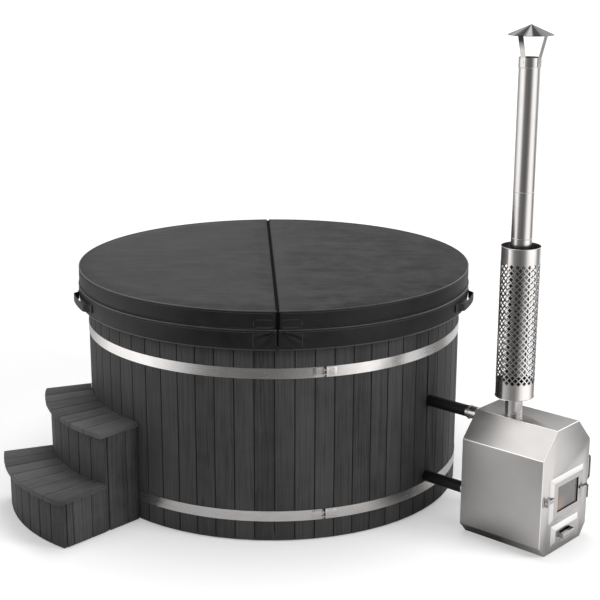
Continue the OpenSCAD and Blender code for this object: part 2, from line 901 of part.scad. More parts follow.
// Cover
// Keeps the part of its children on one side of the split, from a distance off the split's middle
module half_of(side, off) {
    reach = 2 * cover_r;
    rotate([0, 0, cover_turn]) intersection() {
        children();
        translate([split_shift + (side > 0 ? off : -off - reach), -reach, 0])
            cube([reach, 2 * reach, 2 * cover_top_z]);
    }
}

// Crowned upper outline of a round panel, from its middle to its edge
function crown_line(r, edge_z, crown) =
    [for (i = [0 : crown_steps]) [r * i / crown_steps, edge_z + crown * (1 - pow(i / crown_steps, 2))]];

// Outline of the panel, from the middle of its underside round its rounded upper edge
function panel_outline(r, under_z, edge_z) = concat(
    [[0, under_z]],
    crown_line(r - cover_corner_r, edge_z, cover_crown),
    corner([r - cover_corner_r, edge_z], [r, edge_z], [r, under_z], cover_round, 4),
    [[r, under_z]]
);

// Upholstered panel: skin over the top and the side, and an upright panel along the split
module cover_skin(side) {
    inner_edge_z = cover_edge_z - skin_t;
    difference() {
        half_of(side, split_gap / 2) union() {
            rotate_extrude($fn = 180) polygon(panel_outline(cover_r, cover_under_z, cover_edge_z));
            translate([0, 0, cover_under_z]) seam_piping();
        }
        half_of(side, split_gap / 2 + skin_t) rotate_extrude($fn = 180)
            polygon(panel_outline(cover_r - skin_t, cover_under_z - overrun, inner_edge_z));
    }
}

module seam_piping() {
    rotate_extrude($fn = 180) translate([cover_r - piping_r / 2, piping_r]) circle(r = piping_r, $fn = 24);
}

// Flap that hangs from the panel's lower seam, with piping along its hem
module cover_skirt(side) {
    top_z = cover_under_z - seat_gap;
    half_of(side, split_gap / 2) union() {
        rotate_extrude($fn = 180) translate([cover_r - skirt_t, hem_z])
            square([skirt_t, top_z - hem_z]);
        translate([0, 0, hem_z]) seam_piping();
    }
}

module cover_core(side) {
    under = cover_under_z + seat_gap;
    core_edge_z = cover_edge_z - skin_t - seat_gap;
    half_of(side, split_gap / 2 + skin_t + seat_gap) rotate_extrude($fn = 180)
        polygon(panel_outline(cover_core_r, under, core_edge_z));
}

module cover_right_skin() {
    color("darkslategray") cover_skin(1);
}

module cover_left_skin() {
    color("darkslategray") cover_skin(-1);
}

module cover_right_skirt() {
    color("darkslategray") cover_skirt(1);
}

module cover_left_skirt() {
    color("darkslategray") cover_skirt(-1);
}

module cover_right_core() {
    color("whitesmoke") cover_core(1);
}

module cover_left_core() {
    color("whitesmoke") cover_core(-1);
}

module cover_hinge() {
    half = cover_r - 2 * cover_corner_r;
    color("black") rotate([0, 0, cover_turn])
        translate([split_shift - hinge_t / 2, -half, cover_edge_z - hinge_h])
        cube([hinge_t, 2 * half, hinge_h]);
}

// A webbing loop along the skirt, bowed outwards between two sewn ends
module handle(turn) {
    bow = [for (i = [0 : handle_points])
        let (t = i / handle_points)
        [(t - 0.5) * handle_span, handle_bow * sqrt(sin(180 * t))]];
    tab = handle_tab / cover_r * 180 / PI;
    line = concat([[-handle_span / 2 - tab, 0]], bow, [[handle_span / 2 + tab, 0]]);
    base_r = cover_r + seat_gap;
    outer = [for (p = line) (base_r + handle_t + p[1]) * [cos(p[0]), sin(p[0])]];
    inner = [for (i = [len(line) - 1 : -1 : 0])
        let (p = line[i], slim = p[1] > 0 ? handle_t / handle_bow : 0)
        (base_r + p[1]) * [cos(p[0] * (1 - slim / 2)), sin(p[0] * (1 - slim / 2))]];
    translate([0, 0, handle_z]) rotate([0, 0, turn])
        linear_extrude(handle_h) polygon(concat(outer, inner));
}

module right_handle() {
    color("black") handle(-handle_angle);
}

module left_handle() {
    color("black") handle(handle_angle - 180);
}

// Steps
// Plan between the front side, the rear side and an arc, each moved outwards by a distance
module step_plan(apex_x, centre, r, out_side, out_arc) {
    aside = out_side / sin(step_wedge / 2);
    tip = [apex_x, 0] - aside * [cos(step_wedge / 2), -sin(step_wedge / 2)];
    difference() {
        intersection() {
            translate(centre) circle(r = r + out_arc, $fn = 180);
            polygon([tip, tip + 2 * step_reach * [cos(step_wedge), -sin(step_wedge)],
                tip + [2 * step_reach, -step_reach], tip + [2 * step_reach, 0]]);
        }
        circle(r = step_back_r, $fn = 180);
    }
}

module lower_plan(out_side, out_arc) {
    difference() {
        step_plan(lower_apex_x, lower_centre, lower_riser_r, out_side, out_arc);
        translate(upper_centre) circle(r = upper_riser_r + step_gap, $fn = 180);
    }
}

module upper_plan(out_side, out_arc) {
    step_plan(upper_apex_x, upper_centre, upper_riser_r, out_side, out_arc);
}

// Distance from an apex along the rear side to a circle
function rear_reach(apex_x, centre, r) =
    let (u = [cos(step_wedge), -sin(step_wedge)], w = [apex_x, 0] - centre)
    sqrt(pow(u * w, 2) - w * w + r * r) - u * w;

// Turns of the front corner and the rear corner of a riser, round its own centre
function front_turn(r) = asin(-riser_y / r);
function rear_turn(r, centre, apex_x) =
    let (
        s = rear_reach(apex_x, centre, r),
        p = [apex_x, 0] - centre + s * [cos(step_wedge), -sin(step_wedge)]
    )
    atan2(p[1], p[0]);
function riser_pitch(r, centre, apex_x) = (front_turn(r) - rear_turn(r, centre, apex_x)) / riser_boards;

// Radius inside which a box's side boards end, behind the flat backs of its riser boards
function behind_riser(r, centre, apex_x) =
    r * cos(riser_pitch(r, centre, apex_x) / 2) - step_board_t - step_gap;

module riser(centre, r, apex_x, top_z) {
    pitch = riser_pitch(r, centre, apex_x);
    translate(centre) for (i = [0 : riser_boards - 1])
        rotate([0, 0, front_turn(r) - (i + 0.5) * pitch]) translate([0, 0, step_foot_z])
            linear_extrude(top_z - tread_t - seat_gap - step_foot_z)
                board_plan(r * cos(pitch / 2), pitch, step_board_t, step_gap, step_bevel);
}

module step_riser_boards() {
    color("dimgray") at_steps() {
        riser(upper_centre, upper_riser_r, upper_apex_x, upper_tread_z);
        riser(lower_centre, lower_riser_r, lower_apex_x, lower_tread_z);
    }
}

// Boards of one upright side, laid along local X from one distance to another, with their face at Y = 0
module side_run(seams, top_z) {
    h = top_z - tread_t - seat_gap - step_foot_z;
    for (i = [0 : len(seams) - 2])
        translate([seams[i] + step_gap / 2, -step_board_t, step_foot_z])
            cube([seams[i + 1] - seams[i] - step_gap, step_board_t, h]);
}

module step_side_boards() {
    slack = step_board_t / 2;
    back = step_back_board_r + step_gap;
    upper_r = behind_riser(upper_riser_r, upper_centre, upper_apex_x);
    lower_r = behind_riser(lower_riser_r, lower_centre, lower_apex_x);
    upper_end = upper_riser_x + sqrt(pow(upper_r, 2) - pow(riser_y, 2));
    lower_end = lower_riser_x + sqrt(pow(lower_r, 2) - pow(riser_y, 2));
    lower_start = upper_riser_x + sqrt(pow(upper_riser_r, 2) - pow(riser_y, 2)) + step_gap;
    color("dimgray") at_steps() {
        side_run([back, first_side_seam, upper_end], upper_tread_z);
        side_run([lower_start, first_side_seam + 2 * side_board_w,
                first_side_seam + 3 * side_board_w, lower_end],
            lower_tread_z);
        rear_boards(upper_apex_x, rear_reach(upper_apex_x, [0, 0], step_back_board_r) + slack,
            rear_reach(upper_apex_x, upper_centre, upper_r), upper_tread_z);
        rear_boards(lower_apex_x, rear_reach(lower_apex_x, upper_centre, upper_riser_r) + slack,
            rear_reach(lower_apex_x, lower_centre, lower_r), lower_tread_z);
    }
}

// A rear side lies along the wedge's other edge, in two boards
module rear_boards(apex_x, near, far, top_z) {
    translate([apex_x, 0, 0]) rotate([0, 0, -step_wedge]) translate([0, step_board_t, 0])
        side_run([near, (near + far) / 2, far], top_z);
}

// Sheet formers inside a box that the boards are nailed to
module former(z) {
    translate([0, 0, z]) linear_extrude(former_t) difference() {
        children(0);
        children(1);
    }
}

module step_formers() {
    board = step_board_t + step_gap;
    upper_arc = behind_riser(upper_riser_r, upper_centre, upper_apex_x) - upper_riser_r;
    lower_arc = behind_riser(lower_riser_r, lower_centre, lower_apex_x) - lower_riser_r;
    color("burlywood") at_steps() {
        for (z = [0, upper_tread_z - tread_t - former_t - seat_gap]) former(z) {
            upper_plan(-board, upper_arc);
            upper_plan(-board - former_w, upper_arc - former_w);
        }
        for (z = [0, lower_tread_z - tread_t - former_t - seat_gap]) former(z) {
            lower_plan(-board, lower_arc);
            lower_plan(-board - former_w, lower_arc - former_w);
        }
    }
}

// Planks of a tread, cut from its plan by lines from the point where the two sides would meet
module planks(apex_x, z) {
    for (i = [0 : tread_planks - 1])
        translate([0, 0, z - tread_t]) linear_extrude(tread_t) intersection() {
            children();
            plank_wedge(apex_x, i);
        }
}

module plank_wedge(apex_x, i) {
    pitch = step_wedge / tread_planks;
    reach = 3 * step_reach;
    first = i == 0 ? pitch : 0;
    last = i == tread_planks - 1 ? pitch : 0;
    from = first - i * pitch;
    to = -(i + 1) * pitch - last;
    gap_from = i == 0 ? 0 : step_gap;
    gap_to = i == tread_planks - 1 ? 0 : step_gap;
    start = [apex_x, 0] + gap_from / 2 * [sin(from), -cos(from)];
    end = [apex_x, 0] + gap_to / 2 * [-sin(to), cos(to)];
    polygon([start, end + reach * [cos(to), sin(to)], start + reach * [cos(from), sin(from)]]);
}

module upper_tread_planks() {
    color("dimgray") at_steps() planks(upper_apex_x, upper_tread_z) upper_plan(side_over, nose_over);
}

module lower_tread_planks() {
    color("dimgray") at_steps() planks(lower_apex_x, lower_tread_z) lower_plan(side_over, nose_over);
}

// Stove
// A length of a section drawn across and up, laid along the stove
module stove_prism(from, to) {
    translate([from, 0, 0]) rotate([90, 0, 90]) linear_extrude(to - from) children();
}

module stove_casing() {
    door_from = door_shift - door_w / 2 + door_lip;
    door_to = door_shift + door_w / 2 - door_lip;
    drawer_from = door_shift - drawer_w / 2 + drawer_lip;
    drawer_to = door_shift + drawer_w / 2 - drawer_lip;
    color("lightgray") at_stove() difference() {
        stove_prism(0, stove_l) polygon(stove_points);
        stove_prism(casing_t, stove_l - casing_t) polygon(inset(stove_points, casing_t));
        box([stove_l - casing_t - overrun, door_from, door_z + door_lip],
            [stove_l + overrun, door_to, door_z + door_h - door_lip]);
        box([stove_l - casing_t - overrun, drawer_from, drawer_z + drawer_lip],
            [stove_l + overrun, drawer_to, drawer_z + drawer_h - drawer_lip]);
        for (place = [[upper_hose_y, upper_hose_z], [lower_hose_y, lower_hose_z]])
            translate([-overrun, place[0], place[1]]) rotate([0, 90, 0])
                cylinder(r = hose_bore_r, h = casing_t + 2 * overrun);
        translate([flue_x, flue_y, stove_h - casing_t - overrun])
            cylinder(r = socket_r + seat_gap, h = casing_t + 2 * overrun);
    }
}

module firebox() {
    half = firebox_w / 2;
    rear = firebox_rear_x;
    front = firebox_front_x;
    grate_x = (rear + front) / 2;
    color("dimgray") at_stove() difference() {
        box([rear, -half, firebox_z], [front, half, firebox_top_z]);
        box([rear + firebox_t, firebox_t - half, firebox_z + firebox_t],
            [front + overrun, half - firebox_t, firebox_top_z - firebox_t]);
        box([grate_x - grate_l / 2 + grate_ledge, grate_ledge - grate_w / 2, firebox_z - overrun],
            [grate_x + grate_l / 2 - grate_ledge, grate_w / 2 - grate_ledge, firebox_z + 2 * firebox_t]);
        translate([flue_x, flue_y, firebox_top_z - firebox_t - overrun])
            cylinder(r = socket_r - pipe_t, h = firebox_t + 2 * overrun);
    }
}

module fire_grate() {
    grate_x = (firebox_rear_x + firebox_front_x) / 2;
    color("black") at_stove() translate([grate_x - grate_l / 2, -grate_w / 2, firebox_z + firebox_t])
        difference() {
            cube([grate_l, grate_w, grate_h]);
            for (i = [0 : grate_bars - 2], row = [0, 1])
                translate([grate_bar_w + row * (grate_l - grate_bar_w) / 2,
                    grate_bar_w + i * (grate_bar_w + grate_gap), -overrun])
                    cube([(grate_l - 3 * grate_bar_w) / 2, grate_gap, grate_h + 2 * overrun]);
        }
}

// Inside of the drawer's housing, across
function drawer_half() = drawer_w / 2 - drawer_lip;

module drawer_housing() {
    half = drawer_half() + housing_t;
    floor_z = drawer_z + drawer_lip - housing_t;
    rear = stove_l - drawer_depth - 4 * slip_gap;
    front = stove_l - casing_t - seat_gap;
    color("dimgray") at_stove() difference() {
        box([rear - housing_t, door_shift - half, floor_z],
            [front, door_shift + half, firebox_z - seat_gap]);
        box([rear, door_shift - half + housing_t, floor_z + housing_t],
            [front + overrun, door_shift + half - housing_t, firebox_z + overrun]);
    }
}

// A pressed sheet front: a pan with four sloping sides, its rim against the casing
module pressed_front(across, from_z, w, h) {
    t = door_sheet_t;
    translate([door_back_x, 0, 0]) difference() {
        sloped_block(across, from_z, w, h, 0, door_d, door_bevel);
        translate([-t, 0, 0])
            sloped_block(across, from_z + t, w - 2 * t, h - 2 * t, -overrun, door_d, door_bevel);
    }
}

module sloped_block(across, from_z, w, h, from_x, to_x, bevel) {
    intersection() {
        translate([0, across, from_z]) linear_extrude(h) polygon([
            [from_x, -w / 2], [0, -w / 2], [to_x, bevel - w / 2],
            [to_x, w / 2 - bevel], [0, w / 2], [from_x, w / 2]
        ]);
        translate([0, across + w / 2, from_z]) rotate([90, 0, 0]) linear_extrude(w) polygon([
            [from_x, 0], [0, 0], [to_x, bevel], [to_x, h - bevel], [0, h], [from_x, h]
        ]);
    }
}

module ash_drawer() {
    half = drawer_half() - slip_gap;
    floor_z = drawer_z + drawer_lip + seat_gap;
    top_z = floor_z + drawer_side_h;
    rear = stove_l - drawer_depth;
    color("lightgray") at_stove() difference() {
        union() {
            pressed_front(door_shift, drawer_z, drawer_w, drawer_h);
            difference() {
                box([rear, door_shift - half, floor_z], [stove_l, door_shift + half, top_z]);
                box([rear + drawer_t, door_shift - half + drawer_t, floor_z + drawer_t],
                    [stove_l - drawer_t, door_shift + half - drawer_t, top_z + overrun]);
            }
            // Tongue that ties the tray to its front
            box([stove_l - drawer_t, door_shift - window_w / 4, floor_z],
                [door_front_x - door_sheet_t / 2, door_shift + window_w / 4, floor_z + drawer_t]);
        }
        translate([0, door_shift + pull_shift, 0])
            box([door_back_x, -air_slot_w / 2, pull_z + pull_t],
                [door_front_x + overrun, air_slot_w / 2, pull_z + pull_t + air_slot_h]);
    }
}

module drawer_pull() {
    back = door_front_x + seat_gap;
    color("silver") at_stove() translate([back, door_shift + pull_shift, pull_z - pull_h / 2])
        difference() {
            box([0, -pull_w / 2, 0], [pull_out, pull_w / 2, pull_h]);
            box([-overrun, pull_t - pull_w / 2, -overrun],
                [pull_out - pull_t, pull_w / 2 - pull_t, pull_h + overrun]);
        }
}

module door_frame() {
    mid = door_shift + window_shift;
    stud_l = door_sheet_t + latch_t + 4 * seat_gap;
    color("lightgray") at_stove() {
        difference() {
            pressed_front(door_shift, door_z, door_w, door_h);
            box([door_back_x, mid - window_w / 2, window_z],
                [door_front_x + overrun, mid + window_w / 2, window_z + window_h]);
        }
        // Stud that the latch turns on
        translate([door_front_x - door_sheet_t, latch_y, latch_z]) rotate([0, 90, 0]) {
            cylinder(r = latch_stud_r, h = stud_l, $fn = 32);
            translate([0, 0, stud_l]) cylinder(r = stud_head_r, h = stud_head_h, $fn = 32);
        }
    }
}

module door_glass() {
    mid = door_shift + window_shift;
    color("black", 0.5) at_stove()
        box([door_back_x + glass_t / 2, mid - window_w / 2 - glass_lap, window_z - glass_lap],
            [door_back_x + glass_t * 1.5, mid + window_w / 2 + glass_lap, window_z + window_h + glass_lap]);
}

module window_gasket() {
    mid = door_shift + window_shift;
    from = door_back_x + glass_t * 1.5;
    inset = gasket_t / 2;
    color("black") at_stove() difference() {
        box([from, mid - window_w / 2 - glass_lap, window_z - glass_lap],
            [door_front_x - door_sheet_t, mid + window_w / 2 + glass_lap, window_z + window_h + glass_lap]);
        box([from - overrun, mid - window_w / 2 + inset, window_z + inset],
            [door_front_x + overrun, mid + window_w / 2 - inset, window_z + window_h - inset]);
    }
}

module door_seal() {
    from_y = door_shift - door_w / 2 + door_lip - seal_inset;
    to_y = door_shift + door_w / 2 - door_lip + seal_inset;
    from_z = door_z + door_lip - seal_inset;
    to_z = door_z + door_h - door_lip + seal_inset;
    deep = door_d * (door_lip - seal_inset - seal_w) / door_bevel - slip_gap - seat_gap;
    color("dimgray") at_stove() difference() {
        box([door_back_x, from_y - seal_w / 2, from_z - seal_w / 2],
            [door_back_x + deep, to_y + seal_w / 2, to_z + seal_w / 2]);
        box([door_back_x - overrun, from_y + seal_w / 2, from_z + seal_w / 2],
            [door_back_x + deep + overrun, to_y - seal_w / 2, to_z - seal_w / 2]);
    }
}

// Hinge: two knuckles on the casing, one on the door, and the pin through them
function knuckle_h() = hinge_h_all * knuckle_share;

module hinge_bracket() {
    color("silver") at_stove() difference() {
        union() {
            for (z = [hinge_z, hinge_z + hinge_h_all - knuckle_h()]) {
                translate([hinge_x, hinge_y, z]) cylinder(r = hinge_r, h = knuckle_h(), $fn = 32);
                box([stove_l + seat_gap / 2, hinge_y - hinge_r, z], [hinge_x, hinge_y, z + knuckle_h()]);
            }
            box([stove_l, hinge_y - hinge_plate_w, hinge_z],
                [stove_l + hinge_plate_t, hinge_y, hinge_z + hinge_h_all]);
        }
        translate([hinge_x, hinge_y, hinge_z - overrun])
            cylinder(r = hinge_pin_r + running_gap, h = hinge_h_all + 2 * overrun, $fn = 32);
    }
}

module hinge_strap() {
    from_z = hinge_z + knuckle_h() + seat_gap;
    h = hinge_h_all - 2 * knuckle_h() - 2 * seat_gap;
    start = door_front_x + seat_gap / 2;
    color("silver") at_stove() difference() {
        union() {
            translate([hinge_x, hinge_y, from_z]) cylinder(r = hinge_r, h = h, $fn = 32);
            box([start, hinge_y, from_z], [start + hinge_plate_t, hinge_y + hinge_strap_l, from_z + h]);
        }
        translate([hinge_x, hinge_y, hinge_z - overrun])
            cylinder(r = hinge_pin_r + running_gap, h = hinge_h_all + 2 * overrun, $fn = 32);
    }
}

module hinge_pin() {
    color("gray") at_stove() translate([hinge_x, hinge_y, hinge_z - 2 * seat_gap]) {
        cylinder(r = hinge_pin_r, h = hinge_h_all + 3 * seat_gap, $fn = 32);
        translate([0, 0, hinge_h_all + 3 * seat_gap])
            cylinder(r = hinge_r - seat_gap, h = hinge_plate_t, $fn = 32);
    }
}

module door_latch() {
    color("dimgray") at_stove() translate([latch_x, latch_y, latch_z]) difference() {
        union() {
            rotate([0, 90, 0]) cylinder(r = latch_hub_r, h = latch_t, $fn = 32);
            box([0, 0, -latch_arm_h / 2], [latch_t, latch_arm_l, latch_arm_h / 2]);
            translate([0, latch_grip_y, 0]) rotate([0, 90, 0])
                cylinder(r = latch_grip_r, h = latch_t + latch_grip_out, $fn = 32);
            translate([latch_t + latch_grip_out, latch_grip_y, -latch_grip_l])
                cylinder(r = latch_grip_r, h = latch_grip_l, $fn = 32);
            for (z = [0, -latch_grip_l]) translate([latch_t + latch_grip_out, latch_grip_y, z])
                sphere(r = latch_grip_r, $fn = 32);
        }
        translate([-overrun, 0, 0]) rotate([0, 90, 0])
            cylinder(r = latch_stud_r + running_gap, h = latch_t + 2 * overrun, $fn = 32);
    }
}

// A bent bracket whose shelf the latch's arm drops onto
module latch_keeper() {
    from_z = latch_z - latch_arm_h / 2 - seat_gap - keeper_t;
    color("silver") at_stove() translate([0, keeper_y, from_z]) {
        box([stove_l, 0, 0], [latch_x + latch_t, keeper_w, keeper_t]);
        box([stove_l, 0, -keeper_foot], [stove_l + keeper_t, keeper_w, keeper_t]);
    }
}

module side_handle() {
    run = side_handle_half - side_handle_round;
    lead = side_handle_out - side_handle_round;
    color("silver") at_stove() translate([side_handle_x, stove_w / 2 + seat_gap, side_handle_z]) {
        translate([0, side_handle_out, -run]) cylinder(r = side_handle_r, h = 2 * run, $fn = 32);
        for (side = [0, 1]) mirror([0, 0, side]) {
            translate([0, lead, run]) rotate([0, -90, 0]) rotate_extrude(angle = 90, $fn = 64)
                translate([side_handle_round, 0]) circle(r = side_handle_r, $fn = 32);
            translate([0, lead, side_handle_half]) rotate([90, 0, 0])
                cylinder(r = side_handle_r, h = lead, $fn = 32);
            translate([0, side_handle_foot_t, side_handle_half]) rotate([90, 0, 0])
                cylinder(r = side_handle_foot_r, h = side_handle_foot_t, $fn = 32);
        }
    }
}

// Flue
module bead(r) {
    rotate_extrude() translate([r - bead_r * bead_share, 0]) circle(r = bead_r, $fn = 24);
}

module flue_socket() {
    joint = stove_h + socket_h;
    color("silver") at_flue() difference() {
        union() {
            translate([0, 0, firebox_top_z]) cylinder(r = socket_r, h = joint - firebox_top_z);
            translate([0, 0, joint - bead_r]) bead(socket_r);
        }
        translate([0, 0, firebox_top_z - overrun])
            cylinder(r = socket_r - pipe_t, h = joint - firebox_top_z + 2 * overrun);
    }
}

// A pipe from one joint to the next, whose lower end slips into the pipe below
module flue_length(from, to, r) {
    inner = r - pipe_t;
    difference() {
        union() {
            translate([0, 0, from]) cylinder(r = r, h = to - from - seat_gap);
            translate([0, 0, from - sleeve_l]) cylinder(r = inner - seat_gap, h = sleeve_l + bead_r);
            translate([0, 0, from + bead_r]) bead(r);
        }
        translate([0, 0, from + bead_r]) cylinder(r = inner, h = to - from + overrun);
        translate([0, 0, from - sleeve_l - overrun])
            cylinder(r = inner - seat_gap - pipe_t, h = sleeve_l + 2 * overrun);
    }
}

module lower_flue() {
    joint = stove_h + socket_h;
    inner = socket_r - pipe_t - seat_gap;
    outside = [[socket_r, joint + seat_gap], [socket_r, reducer_z], [pipe_r, reducer_z + reducer_h],
        [pipe_r, first_joint_z - seat_gap]];
    inside = [[pipe_r - pipe_t, first_joint_z - seat_gap], [pipe_r - pipe_t, reducer_z + reducer_h],
        [inner - pipe_t, reducer_z], [inner - pipe_t, joint - sleeve_l]];
    color("silver") at_flue() rotate_extrude()
        polygon(concat(outside, inside, [[inner, joint - sleeve_l], [inner, joint + seat_gap]]));
}

module middle_flue() {
    color("silver") at_flue() flue_length(first_joint_z, second_joint_z, pipe_r);
}

module upper_flue() {
    color("silver") at_flue() flue_length(second_joint_z, pipe_top_z, pipe_r);
}

// Rolled sheet with staggered rows of square holes that stand on their corners
module heat_guard() {
    pitch = 360 / hole_columns;
    side = hole_diagonal / sqrt(2);
    color("silver") at_flue() difference() {
        translate([0, 0, guard_z]) tube(guard_r, guard_r - guard_t, guard_h);
        for (row = [0 : guard_rows - 1], i = [0 : hole_columns - 1])
            rotate([0, 0, (i + (row % 2) / 2) * pitch])
                translate([guard_r - guard_t / 2, 0, guard_first_z + row * hole_row_pitch])
                    rotate([45, 0, 0]) cube([4 * guard_t, side, side], center = true);
    }
}

module guard_brackets() {
    turn = 360 / guard_bracket_count;
    color("gray") at_flue() for (i = [0 : guard_bracket_count - 1])
        rotate([0, 0, guard_bracket_first + i * turn]) {
            guard_bracket(guard_z + guard_bracket_inset, socket_r);
            guard_bracket(guard_z + guard_h - guard_bracket_inset, pipe_r);
        }
}

// A strip bent to a Z, with one tab on the pipe and one on the guard
module guard_bracket(z, r) {
    from = r + seat_gap;
    to = sqrt(pow(guard_r - guard_t - seat_gap, 2) - pow(guard_bracket_w / 2, 2));
    translate([0, guard_bracket_w / 2, z]) rotate([90, 0, 0]) linear_extrude(guard_bracket_w) polygon([
        [from, -guard_tab_h], [from + guard_bracket_t, -guard_tab_h], [from + guard_bracket_t, 0],
        [to - guard_bracket_t, 0], [to - guard_bracket_t, -guard_tab_h],
        [to, -guard_tab_h], [to, guard_bracket_t],
        [from, guard_bracket_t]
    ]);
}

module cap_collar() {
    bore = pipe_r + seat_gap;
    color("silver") at_flue() difference() {
        union() {
            translate([0, 0, pipe_top_z - collar_h]) cylinder(r = bore + collar_t, h = collar_h);
            translate([0, 0, pipe_top_z - collar_h + bead_r]) bead(bore + collar_t);
        }
        translate([0, 0, pipe_top_z - collar_h - overrun]) cylinder(r = bore, h = collar_h + 2 * overrun);
    }
}

// Straps riveted to the collar, splayed out to the cap's underside
module cap_brackets() {
    foot_r = pipe_r + 2 * seat_gap + collar_t;
    lean = atan2(strap_top_r - foot_r, cap_gap);
    thick = strap_t / cos(lean);
    slope = cap_h / cap_r;
    rise = (cap_gap + cap_h - slope * (foot_r + thick) - cap_drop - seat_gap) / (1 + slope * tan(lean));
    color("silver") at_flue() for (turn = strap_turns)
        rotate([0, 0, face_view - stove_turn + turn])
            translate([0, strap_w / 2, pipe_top_z]) rotate([90, 0, 0]) linear_extrude(strap_w) polygon([
                [foot_r, -strap_foot], [foot_r + strap_t, -strap_foot], [foot_r + strap_t, 0],
                [foot_r + thick + rise * tan(lean), rise], [foot_r + rise * tan(lean), rise], [foot_r, 0]
            ]);
}

module rain_cap() {
    color("silver") at_flue() translate([0, 0, cap_rim_z]) union() {
        rotate_extrude() polygon([[0, cap_h], [cap_r, 0], [cap_r - cap_t, -cap_t], [0, cap_h - cap_drop]]);
        rotate_extrude() translate([cap_r - cap_hem_r, -cap_hem_r / 2]) circle(r = cap_hem_r, $fn = 24);
    }
}

wall_staves();
tub_bands();
band_clasps();
clasp_bolts();
steel_rivets();
rim_boards();
liner();
liner_wall();
wall_insulation();
bench_supports();
floor_boards();
base_joists();
drain_strainer();
drain_pipe();
drain_cap();
wall_pipes();
inlet_covers();
upper_hose();
lower_hose();
hose_sockets();
hose_clamps();
cover_right_skin();
cover_left_skin();
cover_right_skirt();
cover_left_skirt();
cover_right_core();
cover_left_core();
cover_hinge();
right_handle();
left_handle();
step_formers();
step_riser_boards();
step_side_boards();
upper_tread_planks();
lower_tread_planks();
stove_casing();
firebox();
fire_grate();
drawer_housing();
ash_drawer();
drawer_pull();
door_frame();
door_glass();
window_gasket();
door_seal();
hinge_bracket();
hinge_strap();
hinge_pin();
door_latch();
latch_keeper();
side_handle();
flue_socket();
lower_flue();
middle_flue();
upper_flue();
heat_guard();
guard_brackets();
cap_collar();
cap_brackets();
rain_cap();
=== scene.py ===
"""Looks of a round wooden hot tub with an outside wood stove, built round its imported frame."""
import json
import math

import bpy
import numpy as np
from bpy.props import FloatProperty, FloatVectorProperty, IntProperty, PointerProperty
from mathutils import Matrix, Vector, noise

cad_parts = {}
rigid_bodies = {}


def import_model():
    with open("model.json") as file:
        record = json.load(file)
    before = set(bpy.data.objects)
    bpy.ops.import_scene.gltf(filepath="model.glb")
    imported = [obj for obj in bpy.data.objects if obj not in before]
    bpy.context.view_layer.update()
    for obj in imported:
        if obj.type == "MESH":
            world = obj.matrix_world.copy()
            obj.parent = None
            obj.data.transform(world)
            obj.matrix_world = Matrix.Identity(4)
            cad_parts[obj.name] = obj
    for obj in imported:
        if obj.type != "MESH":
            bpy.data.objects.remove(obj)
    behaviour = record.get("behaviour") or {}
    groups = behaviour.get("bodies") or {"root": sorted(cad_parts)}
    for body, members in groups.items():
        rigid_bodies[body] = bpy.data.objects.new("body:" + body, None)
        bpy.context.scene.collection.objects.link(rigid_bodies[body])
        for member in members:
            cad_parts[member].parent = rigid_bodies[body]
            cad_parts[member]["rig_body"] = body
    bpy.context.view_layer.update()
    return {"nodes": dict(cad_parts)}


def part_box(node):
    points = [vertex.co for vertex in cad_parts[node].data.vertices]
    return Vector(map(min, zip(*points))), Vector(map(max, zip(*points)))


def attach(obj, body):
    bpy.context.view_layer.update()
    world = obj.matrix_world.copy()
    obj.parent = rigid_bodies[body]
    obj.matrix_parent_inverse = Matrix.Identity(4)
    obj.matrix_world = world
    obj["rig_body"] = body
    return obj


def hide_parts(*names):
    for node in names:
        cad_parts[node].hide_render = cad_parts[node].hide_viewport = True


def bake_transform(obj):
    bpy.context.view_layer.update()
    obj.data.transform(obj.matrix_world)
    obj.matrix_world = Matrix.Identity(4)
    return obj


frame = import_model()

bl_info = {
    "name": "Wooden hot tub",
    "version": (1, 0, 0),
    "blender": (4, 5, 0),
    "location": "View3D > Sidebar > Hot Tub",
    "description": "Dresses the frame of a round wooden hot tub, its cover, steps, stove and flue",
    "category": "Object",
}

# Places and sizes shared with the frame, in metres
STAVES = 64
STOVE_AT = (1.0674, -0.7577)
STOVE_TURN = math.radians(-42.86)
FLUE_AT = (0.174, -0.040)       # in the stove's own directions
GUARD_R = 0.0935
COVER_R = 1.046
COVER_UNDER = 1.0969
COVER_EDGE = 1.1919
COVER_TOP = 1.1979
COVER_TURN = math.radians(1.5)
HEM_Z = 0.9979
SPLIT = 0.004
SPLIT_X = -0.011
SKIRT_R = COVER_R - 0.002
SKIRT_DROP = COVER_UNDER - HEM_Z
SKIRT_TUCKED = 0.10             # share of the drop that is sewn in above the seam
HALVES = ((1, "right", "cover"), (-1, "left", "cover_flap"))

# Noise scales along X, Y and Z for steel whose marks lie level, stand upright or show no way
LEVEL = (6, 6, 500)
UPRIGHT = (300, 300, 4)
EVEN = (60, 60, 60)


# Settings

class WoodSettings(bpy.types.PropertyGroup):
    """Stain and edges of the boards."""
    stain: FloatVectorProperty(name="Stain", description="Main colour of the stained boards", subtype="COLOR",
                               size=3, min=0, max=1, default=(0.040, 0.0395, 0.0396))
    # The treads' lighter colour is painted light on their tops.
    tread: FloatVectorProperty(name="Treads", description="Main colour of the weathered treads",
                               subtype="COLOR", size=3, min=0, max=1, default=(0.067, 0.0662, 0.0664))
    # The seam colour is painted shade deep in the grooves between two boards.
    seam: FloatVectorProperty(name="Seams", description="Colour deep between two boards", subtype="COLOR",
                              size=3, min=0, max=1, default=(0.008, 0.008, 0.008))
    edge_round: FloatProperty(name="Edge", description="Softening of the boards' edges", default=0.0012,
                              min=0.0, max=0.003, unit="LENGTH")


